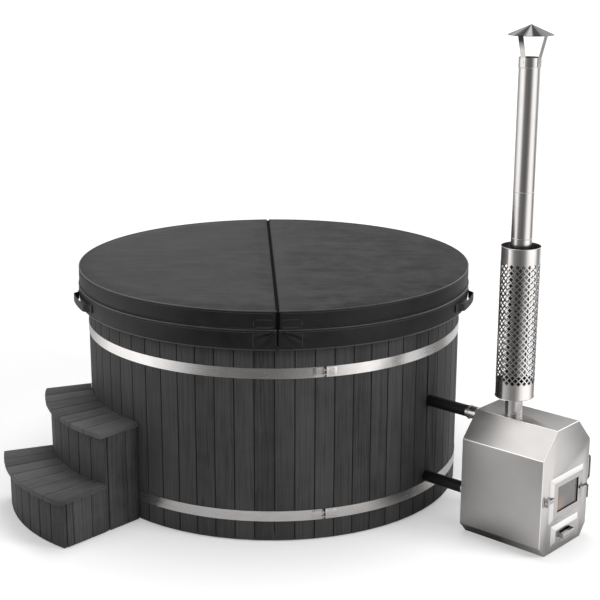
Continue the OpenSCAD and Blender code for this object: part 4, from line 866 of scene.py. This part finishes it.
class HOTTUB_OT_inside(bpy.types.Operator):
    """Finish the liner, the insulation and the water fittings"""
    bl_idname = "hottub.inside"
    bl_label = "Liner and fittings"

    def execute(self, context):
        finish_nodes("liner plastic", "liner", "liner_wall")
        finish_nodes("insulation foam", "wall_insulation")
        finish_nodes("brushed sheet steel", "drain_strainer", "drain_cap", "wall_pipes", "inlet_covers")
        finish_nodes("drain plastic", "drain_pipe")
        finish_nodes("black hose rubber", "upper_hose", "lower_hose")
        finish_nodes("polished pipe steel", "hose_sockets", "hose_clamps")
        return {"FINISHED"}


class HOTTUB_OT_steps(bpy.types.Operator):
    """Model the planks and boards of the two steps"""
    bl_idname = "hottub.steps"
    bl_label = "Steps"

    def execute(self, context):
        edge = context.scene.tub_wood.edge_round
        # The treads' lighter colour is painted light on their tops.
        board_set("upper_tread_planks", "weathered treads", 40, edge, gap=0.005)
        board_set("lower_tread_planks", "weathered treads", 41, edge, gap=0.005)
        board_set("step_riser_boards", "stained boards", 50, edge, upright=True, gap=0.0040)
        # The side boards' lighter stain is painted light.
        board_set("step_side_boards", "pale side boards", 51, edge, upright=True, gap=0.0018)
        board_set("step_formers", "stained boards", 60, edge, slot="raw_wood")
        return {"FINISHED"}


# The cover

def turned(obj):
    """Turns a cover piece, built with its split along Y, to where the cover lies."""
    obj.rotation_euler.z = COVER_TURN
    return place_in_mesh(obj)


def half_angle(side, r, trim):
    """The angle from a half's middle to its split, at a distance off the split line."""
    return math.acos((side * SPLIT_X + trim) / r)


def half_middle(side):
    """The bearing of a half's middle."""
    return COVER_TURN + (0 if side > 0 else math.pi)


def half_pad(side, name, cover):
    """One padded half of the cover: cut from a disc, rounded, then swollen as cloth over its foam."""
    slack = 0.004
    top = COVER_EDGE - slack / 2
    deselect()
    bpy.ops.mesh.primitive_cylinder_add(vertices=240, radius=COVER_R - slack,
                                        depth=COVER_EDGE - COVER_UNDER - slack,
                                        location=(0, 0, (COVER_EDGE + COVER_UNDER) / 2))
    pad = place_in_mesh(bpy.context.active_object)
    pad.name = name + "_pad"
    edit_all(pad)
    bpy.ops.mesh.bisect(plane_co=(SPLIT_X + side * (SPLIT + 0.002), 0, 0), plane_no=(side, 0, 0),
                        use_fill=True, clear_inner=True)
    pick(pad, "EDGE", lambda a, b: abs(a.z - b.z) > 0.05 and (a.x - SPLIT_X) * side < 0.008)
    bpy.ops.mesh.bevel(offset=0.005, segments=2, affect="EDGES")
    pick(pad, "EDGE", lambda a, b: abs(a.z - b.z) < 1e-5 and a.z > top - 0.002)
    bpy.ops.mesh.bevel(offset=0.006, segments=2, affect="EDGES")
    done()
    pad.data.remesh_voxel_size = cover.voxel
    only(pad)
    bpy.ops.object.voxel_remesh()
    co = points_of(pad)
    r2 = (co[:, 0] ** 2 + co[:, 1] ** 2) / COVER_R ** 2
    high = np.clip((co[:, 2] - COVER_UNDER) / (COVER_EDGE - COVER_UNDER), 0, 1)
    co[:, 2] += high * (COVER_TOP - COVER_EDGE - 0.003) * (1 - r2)
    set_points(pad, co)
    swell_pad(pad, cover.swell)
    finish_with(pad, "SMOOTH", iterations=2, factor=0.5)
    true_side(pad, side)
    return turned(smooth(pad, 60))


def true_side(pad, side):
    """Brings the pad's wall to one slightly full curve, its split to a plane, its top under the fold."""
    co = points_of(pad)
    r = np.hypot(co[:, 0], co[:, 1])
    h = np.clip((co[:, 2] - COVER_UNDER) / (COVER_EDGE - COVER_UNDER), 0, 1)
    full = COVER_R - 0.004 + 0.003 * np.sin(np.pi * h) - 0.006 * np.clip((h - 0.93) / 0.07, 0, 1) ** 2
    full -= 0.005 * np.clip((0.10 - h) / 0.10, 0, 1) ** 2
    near_split = (co[:, 0] - SPLIT_X) * side < 0.022
    wall = (r > COVER_R - 0.013) & (h < 0.97) & ~near_split
    new_r = np.where(wall, full, np.minimum(r, full))
    co[:, :2] *= (new_r / np.maximum(r, 1e-6))[:, None]
    foot = COVER_EDGE - 0.004
    rise = co[:, 2] - foot
    co[:, 2] = np.where(rise > 0, foot + rise * min(1, (COVER_TOP - foot) / rise.max()), co[:, 2])
    co[:, 2] = np.maximum(co[:, 2], COVER_UNDER + 0.0006)
    co[:, 0] = SPLIT_X + side * np.maximum((co[:, 0] - SPLIT_X) * side, SPLIT * 0.6)
    set_points(pad, co)


def swell_pad(pad, cap):
    """Cloth with a little pressure, whose points may move by no more than the cap."""
    rest = points_of(pad)
    r = np.hypot(rest[:, 0], rest[:, 1])
    split = np.abs(rest[:, 0] - SPLIT_X) < 0.026
    rim = (r > COVER_R - 0.020) & (rest[:, 2] > COVER_EDGE - 0.016)
    sewn = np.nonzero((rest[:, 2] < COVER_UNDER + 0.012) | split | rim)[0]
    pad.vertex_groups.new(name="held").add([int(i) for i in sewn], 1.0, "REPLACE")
    only(pad)
    cloth = pad.modifiers.new("skin", "CLOTH")
    setup(cloth.settings, quality=5, mass=0.6, tension_stiffness=25, compression_stiffness=12,
          shear_stiffness=8, bending_stiffness=0.4, use_pressure=True, uniform_pressure_force=4.0,
          vertex_group_mass="held")
    cloth.settings.effector_weights.gravity = 0.0
    cloth.collision_settings.use_collision = False
    scene = bpy.context.scene
    for f in range(1, 21):
        scene.frame_set(f)
    bpy.ops.object.modifier_apply(modifier=cloth.name)
    scene.frame_set(1)
    moved = points_of(pad) - rest
    keep = np.minimum(1, cap / np.maximum(np.linalg.norm(moved, axis=1), 1e-9))
    set_points(pad, rest + moved * keep[:, None])


def skirt_swing(u, v, side, near):
    """How far the skirt stands off its cylinder, by arc length, share down and distance from the split."""
    if v < 0:
        return -0.008 * min(1.0, -v / 0.06)
    fold = noise.noise(Vector((u * 3.1, v * 0.6, 3.0 * side))) * 0.0035
    ripple = noise.noise(Vector((u * 11.0, v * 1.5, 7.0 * side))) * 0.0016
    belly = math.sin(math.pi * min(1, v * 1.05)) * 0.0035
    swing = (fold + ripple) * (0.25 + 0.75 * v) + belly - 0.004 * v * v
    return swing + tuck_fan(near, v * SKIRT_DROP) if near < 0.17 else swing


def tuck_fan(near, down):
    """Creases that spread from the split's corner, where the skirt is gathered into its seam."""
    far = math.hypot(near, down)
    lean = math.degrees(math.atan2(down, max(near, 1e-6)))
    inner = min(1.0, far / 0.018)
    outer = 1 - min(1.0, max(0.0, (far - 0.095) / 0.055))
    creases = ((15, 3.2, 0.0080), (23, 4, -0.0040), (34, 3.6, 0.0076), (46, 6, -0.0040))
    lift = sum(size * math.exp(-((lean - at) / width) ** 2) for at, width, size in creases)
    return lift * inner * outer


def skirt_reach(side):
    """How far a skirt goes from its middle to the split, along its outline."""
    return half_angle(side, SKIRT_R, SPLIT) * SKIRT_R


def skirt_point(side, u, v, off=0.0):
    """A point of the hanging skirt, at an arc length from its middle and a share down."""
    r = SKIRT_R + skirt_swing(u, v, side, skirt_reach(side) - abs(u)) + off
    return round_point(r, u / SKIRT_R + half_middle(side), COVER_UNDER - v * SKIRT_DROP)


def half_skirt(side, name):
    """The vinyl skirt that hangs below one half, with its tucks beside the split, and its flat size."""
    skirt = grid(name + "_skirt", 680, 24)
    arc = 2 * skirt_reach(side)
    flat = [(x * arc, (0.5 - y) * (1 + SKIRT_TUCKED) - SKIRT_TUCKED) for x, y, _ in points_of(skirt)]
    set_points(skirt, [list(skirt_point(side, u, v)) for u, v in flat])
    write_map(skirt.data, "cloth", np.array(flat) * (1, -SKIRT_DROP))
    outward(skirt)
    finish_with(skirt, "SOLIDIFY", thickness=0.002, offset=0)
    return smooth(skirt, 50), arc, SKIRT_DROP * (1 + SKIRT_TUCKED)


def half_arc(side, r, z, trim=0.0045, count=260):
    """Points along one half's outline."""
    turn = half_angle(side, r, trim)
    return [round_point(r, half_middle(side) + turn * (2 * k / count - 1), z) for k in range(count + 1)]


def stitch_line(name, points, pitch):
    """A row of short stitches lying along a line of points, each turned to its own piece of the line."""
    deselect()
    bpy.ops.mesh.primitive_cube_add(size=1)
    one = bpy.context.active_object
    one.scale = (pitch * 0.70, 0.0011, 0.0020)
    place_in_mesh(one)
    pick(one, "EDGE", lambda a, b: True)
    bpy.ops.mesh.bevel(offset=0.0003, segments=1, affect="EDGES")
    done()
    base = points_of(one)
    faces = [list(p.vertices) for p in one.data.polygons]
    bpy.data.objects.remove(one)
    line, far = run_along(points)

    def on_line(s):
        return np.array([np.interp(s, far, line[:, c]) for c in range(3)])

    verts, polys = [], []
    for k in range(1, int(far[-1] / pitch)):
        at = on_line(k * pitch)
        way = on_line(k * pitch + 0.003) - on_line(k * pitch - 0.003)
        x = way / np.linalg.norm(way)
        y = np.array((at[0], at[1], 0.0))
        y -= x * (y @ x)
        y /= np.linalg.norm(y)
        polys.extend([i + len(verts) for i in f] for f in faces)
        verts.extend(at + base @ np.stack([x, y, np.cross(x, y)]))
    mesh = bpy.data.meshes.new(name)
    mesh.from_pydata(verts, [], polys)
    return in_scene(name, mesh)


def stitch_rows(name, lines, pitch):
    """Rows of stitches as one piece."""
    return join(name, [stitch_line(f"{name}_{k}", line, pitch) for k, line in enumerate(lines)])


def half_patches(side):
    """The stitched stays on the upper panel at both ends of the split, with their stitch lines."""
    z0, z1 = COVER_UNDER + 0.010, COVER_EDGE - 0.038
    wide, hem, r = 0.106, 0.005, COVER_R + 0.0002
    stitch_from, stitch_run, off = 0.004, 0.098, 0.0011
    pieces, lines = [], []
    for end in (-1, 1):
        def at(along, z, out=0.0):
            a = half_middle(side) + end * (half_angle(side, r, 0.013) - along / r)
            h = (z - COVER_UNDER) / (COVER_EDGE - COVER_UNDER)
            return round_point(COVER_R - 0.0032 + 0.003 * math.sin(math.pi * h) + out, a, z)

        piece = grid("stay", 14, 8)
        set_points(piece, [list(at((x + 0.5) * wide, z0 + (y + 0.5) * (z1 - z0)))
                           for x, y, _ in points_of(piece)])
        outward(piece)
        finish_with(piece, "SOLIDIFY", thickness=0.0012, offset=0)
        pieces.append(smooth(piece, 50))
        lines += [[at(stitch_from + stitch_run * k / 18, z, off) for k in range(19)]
                  for z in (z1 - hem, z0 + hem)]
        lines.append([at(wide - hem, z0 + hem + (z1 - z0 - 2 * hem) * k / 8, off) for k in range(9)])
    return pieces, lines


class HOTTUB_OT_pads(bpy.types.Operator):
    """Model the two padded halves, with their piping and stitching"""
    bl_idname = "hottub.pads"
    bl_label = "Cover pads"

    def execute(self, context):
        cover = context.scene.tub_cover
        for side, name, body in HALVES:
            pad = half_pad(side, name, cover)
            put_on(pad, body, "charcoal vinyl", "vinyl", f"cover_{name}_skin", f"cover_{name}_core")
            # Faces that don't face up get a darker copy of the vinyl, painted shade.
            second_finish(pad, "side vinyl", lambda p: p.normal.z < 0.55)
            edge = half_arc(side, COVER_R - 0.0046, COVER_EDGE - 0.0035, trim=0.0055)
            put_on(tube(name + "_edge_piping", edge, cover.piping), body, "piping vinyl", "vinyl")
            patches, lines = half_patches(side)
            put_on(join(name + "_stays", patches), body, "side vinyl", "vinyl")
            lines.append(half_arc(side, COVER_R - 0.0018, COVER_EDGE - 0.0125, trim=0.016))
            lines.append(half_arc(side, COVER_R - 0.0012, COVER_UNDER + 0.0095, trim=0.016))
            put_on(stitch_rows(name + "_stitches", lines, cover.stitch), body, "stitch thread", "vinyl")
        return {"FINISHED"}


class HOTTUB_OT_skirts(bpy.types.Operator):
    """Model the hanging skirts with their seam, their tucks and their piped hems"""
    bl_idname = "hottub.skirts"
    bl_label = "Cover skirts"

    def execute(self, context):
        cover = context.scene.tub_cover
        for side, name, body in HALVES:
            skirt, arc, drop = half_skirt(side, name)
            put_on(skirt, body, "side vinyl", "vinyl", f"cover_{name}_skirt")
            reach = arc / 2 - 0.003
            edge = [skirt_point(side, reach * (k / 150 - 1), 0.975) for k in range(301)]
            hem = put_on(tube(name + "_hem_piping", edge, cover.piping), body, "piping vinyl", "vinyl")
            bead = half_arc(side, COVER_R - 0.0012, COVER_UNDER + 0.0005)
            seam = put_on(tube(name + "_seam_piping", bead, 0.0040), body, "piping vinyl", "vinyl")
            lines = [[skirt_point(side, reach * (k / 300 - 1), 0.105, 0.0012) for k in range(601)]]
            lines += [[skirt_point(side, end * (arc / 2 - 0.112), 0.12 + 0.8 * k / 16, 0.0012)
                       for k in range(17)] for end in (-1, 1)]
            stitches = stitch_rows(name + "_skirt_stitches", lines, cover.stitch)
            put_on(stitches, body, "stitch thread", "vinyl")
        return {"FINISHED"}


class HOTTUB_OT_hinge(bpy.types.Operator):
    """Model the flexible strip that joins the halves, and its lips"""
    bl_idname = "hottub.hinge"
    bl_label = "Cover hinge"

    def execute(self, context):
        reach, top = COVER_R - 0.0055, COVER_EDGE - 0.0075
        drop = top - HEM_Z - 0.02
        for end, name in ((-1, "near"), (1, "far")):
            path = [(SPLIT_X, end * reach, top - drop * k / 12) for k in range(13)]
            # The lips and the strip are near black, painted shade in the split.
            lip = turned(ribbon(name + "_split_lip", path, (1, 0, 0), 0.0085, 0.0015, 4))
            put_on(lip, "cover", "fold vinyl", "vinyl")
        path = [(SPLIT_X, -reach + 2 * reach * k / 80, top) for k in range(81)]
        strip = ribbon("cover_hinge_strip", path, (1, 0, 0), 0.0085, 0.0015, 6)
        recolour(turned(strip), finish("fold vinyl"))
        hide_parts("cover_hinge")
        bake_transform(strip)
        return {"FINISHED"}


class HOTTUB_OT_handles(bpy.types.Operator):
    """Model the two webbing handles"""
    bl_idname = "hottub.handles"
    bl_label = "Cover handles"

    def execute(self, context):
        sewn_r, stand_off, z = COVER_R + 0.0045, 0.027, 1.0479
        free = math.radians(8)              # half of the loop between the two sewn tabs
        whole = free + 0.020 / sewn_r       # with a tab
        for degrees, name, body in ((-19.3, "right", "cover"), (19.3 - 180, "left", "cover_flap")):
            path = []
            for k in range(61):
                turn = (k / 30 - 1) * whole
                rise = min(1.0, max(0.0, (1 - abs(turn) / free) / 0.26))
                out = stand_off * rise * rise * (3 - 2 * rise)
                path.append(round_point(sewn_r + out, math.radians(degrees) + turn, z))
            strap = ribbon(name + "_strap", path, (0, 0, 1), 0.020, 0.0046, 6)
            put_on(smooth(strap, 40), body, "black webbing", "webbing", name + "_handle")
        return {"FINISHED"}


# The stove

class HOTTUB_OT_stove(bpy.types.Operator):
    """Finish the stove's casing, firebox, grate and side handle"""
    bl_idname = "hottub.stove"
    bl_label = "Stove body"

    def execute(self, context):
        painted_edge_highlights(soften("stove_casing", "brushed sheet steel", "brushed_steel", 0.0024, 3))
        finish_nodes("firebox paint", "firebox")
        finish_nodes("cast iron", "fire_grate")
        finish_nodes("brushed sheet steel", "drawer_housing")
        finish_nodes("dark plated steel", "side_handle")
        return {"FINISHED"}


class HOTTUB_OT_door(bpy.types.Operator):
    """Finish the door, its glass, hinge and latch"""
    bl_idname = "hottub.door"
    bl_label = "Stove door"

    def execute(self, context):
        painted_highlight_slopes(soften("door_frame", "pressed door steel", "brushed_steel", 0.0012))
        finish_nodes("smoked glass", "door_glass")
        finish_nodes("glass rope", "window_gasket", "door_seal")
        finish_nodes("pressed door steel", "hinge_pin", "latch_keeper")
        soften("hinge_bracket", "pressed door steel", "brushed_steel", 0.0005)
        soften("hinge_strap", "pressed door steel", "brushed_steel", 0.0005)
        soften("door_latch", "dark plated steel", "dark_steel", 0.0005)
        return {"FINISHED"}


class HOTTUB_OT_drawer(bpy.types.Operator):
    """Finish the ash drawer and its pull"""
    bl_idname = "hottub.drawer"
    bl_label = "Ash drawer"

    def execute(self, context):
        painted_highlight_slopes(soften("ash_drawer", "pressed door steel", "brushed_steel", 0.0008))
        soften("drawer_pull", "pressed door steel", "brushed_steel", 0.0005)
        return {"FINISHED"}


# The flue

class HOTTUB_OT_flue(bpy.types.Operator):
    """Finish the pipes, the collar, the straps and the rain cap"""
    bl_idname = "hottub.flue"
    bl_label = "Flue and cap"

    def execute(self, context):
        finish_nodes("polished pipe steel", "flue_socket", "middle_flue", "upper_flue", "guard_brackets",
                     "cap_collar")
        finish_nodes("heated pipe steel", "lower_flue")
        finish_nodes("strap steel", "cap_brackets")
        finish_nodes("spun cap steel", "rain_cap")
        return {"FINISHED"}


class HOTTUB_OT_guard(bpy.types.Operator):
    """Model the perforated heat guard: a flat sheet pierced with lozenges, then rolled into a tube"""
    bl_idname = "hottub.guard"
    bl_label = "Heat guard"

    def execute(self, context):
        steel = context.scene.tub_steel
        lo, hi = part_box("heat_guard")
        plain, bead = 0.072, 0.0016     # the unpierced ends, and the radius of the beads round them
        wide, tall = 2 * math.pi * GUARD_R, hi.z - lo.z - 2 * plain
        centre = at_stove(*FLUE_AT, 0)
        guard = grid("heat_guard_sheet", steel.guard_columns, steel.guard_rows)
        guard.scale = (wide, tall, 1)
        place_in_mesh(guard)
        self.pierce(guard, wide, tall, steel)
        for end in (-1, 1):
            edge = end * tall / 2
            pick(guard, "EDGE", lambda a, b: abs(a.y - edge) < 1e-5 and abs(b.y - edge) < 1e-5)
            bpy.ops.mesh.extrude_region_move(TRANSFORM_OT_translate={"value": (0, end * plain, 0)})
        done()
        co = points_of(guard)
        turn = co[:, 0] / GUARD_R
        set_points(guard, np.stack([centre.x + GUARD_R * np.cos(turn), centre.y + GUARD_R * np.sin(turn),
                                    co[:, 1] + (lo.z + hi.z) / 2], 1))
        edit_all(guard)
        bpy.ops.mesh.remove_doubles(threshold=0.00002)
        outward(guard)
        finish_with(guard, "SOLIDIFY", thickness=0.0015, offset=-1)
        smooth(guard, 30)
        rims = [tube("rim", [centre + round_point(GUARD_R, math.radians(5 * k), z) for k in range(72)],
                     bead, closed=True) for z in (lo.z + bead, hi.z - bead)]
        guard = join("heat_guard_sheet", [guard, *rims])
        stand_for(guard, "heat_guard", "guard steel", "polished_steel")
        # The guard's inner faces are darkened with painted shade.
        second_finish(guard, "smoked steel", lambda p: (p.center - centre).xy.dot(p.normal.xy) < 0.02)
        return {"FINISHED"}

    @staticmethod
    def pierce(guard, wide, tall, steel):
        """Cuts the sheet into lozenges, two staggered rows to a row of the grid, and opens each whole one."""
        corners = {(round(v.co.x, 5), round(v.co.y, 5)) for v in guard.data.vertices}
        lozenge = (wide / steel.guard_columns) * (tall / steel.guard_rows) / 2
        edit_all(guard)
        bpy.ops.mesh.poke()
        done()

        def between_lozenges(a, b):
            outside = any(abs(abs(a[c]) - size / 2) < 1e-5 and abs(abs(b[c]) - size / 2) < 1e-5
                          for c, size in ((0, wide), (1, tall)))
            return not outside and all((round(p.x, 5), round(p.y, 5)) in corners for p in (a, b))

        pick(guard, "EDGE", between_lozenges)
        bpy.ops.mesh.dissolve_edges(use_verts=False)
        pick(guard, "FACE", lambda p: len(p.vertices) == 4 and p.area > lozenge * 0.9)
        bpy.ops.mesh.inset(thickness=steel.guard_web / 2, use_individual=True)
        bpy.ops.mesh.delete(type="FACE")


# The stage

def camera_for_photo():
    """The camera's place in the photograph, solved from its lines."""
    yaw, pitch, roll = math.radians(1.12584), math.radians(15.2336), -0.0030354
    place, focal, frame_side = (0, -7.14782, 2.90768), 1358.58, 600
    fwd = Vector((math.sin(yaw) * math.cos(pitch), math.cos(yaw) * math.cos(pitch), -math.sin(pitch)))
    right = Vector((math.cos(yaw), -math.sin(yaw), 0))
    down = fwd.cross(right)
    r = right * math.cos(roll) + down * math.sin(roll)
    d = right * -math.sin(roll) + down * math.cos(roll)
    data = bpy.data.cameras.new("camera")
    setup(data, sensor_width=36, lens=36 * focal / frame_side, clip_end=1000)
    cam = in_scene("camera", data)
    cam.matrix_world = Matrix.Translation(place) @ Matrix((r, -d, -fwd)).transposed().to_4x4()
    bpy.context.scene.camera = cam


def lamp(name, place, target, size, power):
    """A soft lamp, which the steel doesn't mirror."""
    data = bpy.data.lights.new(name, "AREA")
    setup(data, shape="RECTANGLE", size=size[0], size_y=size[1], energy=power)
    aim = (Vector(target) - Vector(place)).to_track_quat("-Z", "Y").to_euler()
    setup(in_scene(name, data), location=place, rotation_euler=aim, visible_glossy=False)


class HOTTUB_OT_stage(bpy.types.Operator):
    """Set the floor, the soft studio light and the camera"""
    bl_idname = "hottub.stage"
    bl_label = "Stage"

    def execute(self, context):
        scene = context.scene
        stage = scene.tub_stage
        self.floor(stage)
        self.room(scene, stage)
        lamp("key", (-3.6, -4.6, 5.2), (0, 0, 0.8), (3.0, 3.0), stage.key)
        lamp("fill", (5.2, -3.0, 3.3), (0.4, 0, 0.8), (2.0, 3.5), stage.fill)
        lamp("top", (0.2, 0.6, 6.0), (0, 0, 0.8), (3.5, 3.5), stage.fill * 1.25)
        camera_for_photo()
        scene.view_settings.view_transform = "Standard"
        return {"FINISHED"}

    @staticmethod
    def floor(stage):
        """A pale floor that glows a little for the camera, more with distance, and keeps the shadow."""
        deselect()
        bpy.ops.mesh.primitive_plane_add(size=600, location=(0, 0, 0))
        floor = place_in_mesh(bpy.context.active_object)
        floor.name = "floor"
        m, t, shader = new_finish("pale floor", Roughness=0.9, Specular_IOR_Level=0.1,
                                  Emission_Color=(1, 1, 1, 1))
        place, rays = object_place(t), put(t, "LightPath")
        away = vector_calc(t, "LENGTH", place, out="Value")
        own = calc(t, "MULTIPLY", rays["Is Camera Ray"], remap(t, away, 2.2, 9.0, stage.glow, 0.85))
        mirrored = calc(t, "MULTIPLY", rays["Is Glossy Ray"], remap(t, away, 1.5, 3.0))
        # For the steel's reflections the floor is darkened round the stove's foot, a painted shadow.
        foot = vector_calc(t, "DISTANCE", place, at_stove(0.23, 0, 0), out="Value")
        shadow = calc(t, "MULTIPLY", rays["Is Glossy Ray"], remap(t, foot, 0.26, 0.50, 0.80, 0.0))
        plain = mix_colours(t, cloud(t, place, 0.6), shade(stage.floor, 0.995), shade(stage.floor, 1))
        ring = group_in(t, "Softbox ring", ring_effect, {"Vector": place})["Strength"]
        glow = calc(t, "MULTIPLY_ADD", calc(t, "MULTIPLY", ring, stage.ring), mirrored, own)
        dim = mix_colours(t, calc(t, "MAXIMUM", shadow, mirrored), plain, (0, 0, 0, 1))
        feed(t, shader, {"Base Color": dim, "Emission Strength": glow})
        recolour(floor, m)

    @staticmethod
    def room(scene, stage):
        """Plain white for the camera, softboxes by bearing for the steel, an even light for the rest."""
        scene.world = bpy.data.worlds.new("studio")
        scene.world.use_nodes = True
        w = scene.world.node_tree
        rays, place = put(w, "LightPath"), put(w, "TexCoord")["Generated"]
        ring = group_in(w, "Softbox ring", ring_effect, {"Vector": place})["Strength"]
        high = remap(w, put(w, "SeparateXYZ", {0: place})["Z"], 0.62, 0.98)
        low = calc(w, "MULTIPLY", calc(w, "MULTIPLY", ring, stage.ring), calc(w, "SUBTRACT", 1.0, high))
        boxes = calc(w, "MULTIPLY_ADD", high, 0.7, low)
        for aim, edge, power in (((0.743, 0.418, 0.522), 0.92, 2.2), ((-0.61, 0.086, 0.788), 0.80, 1.8),
                                 ((0.188, 0.617, 0.763), 0.985, 1.0), ((0.955, 0.219, 0.203), 0.985, 1.5)):
            near = vector_calc(w, "DOT_PRODUCT", place, aim, out="Value")
            boxes = calc(w, "MAXIMUM", boxes, remap(w, near, edge - 0.06, edge, 0.0, power))
        seen = calc(w, "MAXIMUM", rays["Is Camera Ray"], rays["Is Transmission Ray"])
        strong = calc(w, "MAXIMUM", calc(w, "MULTIPLY", boxes, rays["Is Glossy Ray"]), seen)
        rest = calc(w, "SUBTRACT", 1.0, calc(w, "MAXIMUM", seen, rays["Is Glossy Ray"]))
        feed(w, w.nodes["Background"].inputs, {
            "Strength": calc(w, "MULTIPLY_ADD", rest, stage.sky, strong), "Color": (1, 1, 1, 1)})


class HOTTUB_PT_panel(bpy.types.Panel):
    """Sizes, colours and the pieces of the hot tub"""
    bl_label = "Hot Tub"
    bl_idname = "HOTTUB_PT_panel"
    bl_space_type = "VIEW_3D"
    bl_region_type = "UI"
    bl_category = "Hot Tub"

    def draw(self, context):
        layout = self.layout
        for label, _ in SETTINGS:
            settings = getattr(context.scene, label)
            column = layout.column()
            for key in settings.__annotations__:
                column.prop(settings, key)
        for step in STEPS:
            layout.operator(step.bl_idname)


STEPS = (HOTTUB_OT_stage, HOTTUB_OT_staves, HOTTUB_OT_bands, HOTTUB_OT_inside, HOTTUB_OT_steps,
         HOTTUB_OT_pads, HOTTUB_OT_skirts, HOTTUB_OT_hinge, HOTTUB_OT_handles, HOTTUB_OT_stove,
         HOTTUB_OT_door, HOTTUB_OT_drawer, HOTTUB_OT_flue, HOTTUB_OT_guard)
SETTINGS = (("tub_wood", WoodSettings), ("tub_cover", CoverSettings), ("tub_steel", SteelSettings),
            ("tub_stage", StageSettings))


def register():
    for label, group in SETTINGS:
        bpy.utils.register_class(group)
        setattr(bpy.types.Scene, label, PointerProperty(type=group))
    for step in (*STEPS, HOTTUB_PT_panel):
        bpy.utils.register_class(step)


def unregister():
    for step in reversed((*STEPS, HOTTUB_PT_panel)):
        bpy.utils.unregister_class(step)
    for label, group in reversed(SETTINGS):
        delattr(bpy.types.Scene, label)
        bpy.utils.unregister_class(group)


def main():
    register()
    bpy.ops.hottub.stage()
    bpy.ops.hottub.staves()
    bpy.ops.hottub.bands()
    bpy.ops.hottub.inside()
    bpy.ops.hottub.steps()
    bpy.ops.hottub.pads()
    bpy.ops.hottub.skirts()
    bpy.ops.hottub.hinge()
    bpy.ops.hottub.handles()
    bpy.ops.hottub.stove()
    bpy.ops.hottub.door()
    bpy.ops.hottub.drawer()
    bpy.ops.hottub.flue()
    bpy.ops.hottub.guard()
    deselect()


if __name__ == "__main__":
    main()
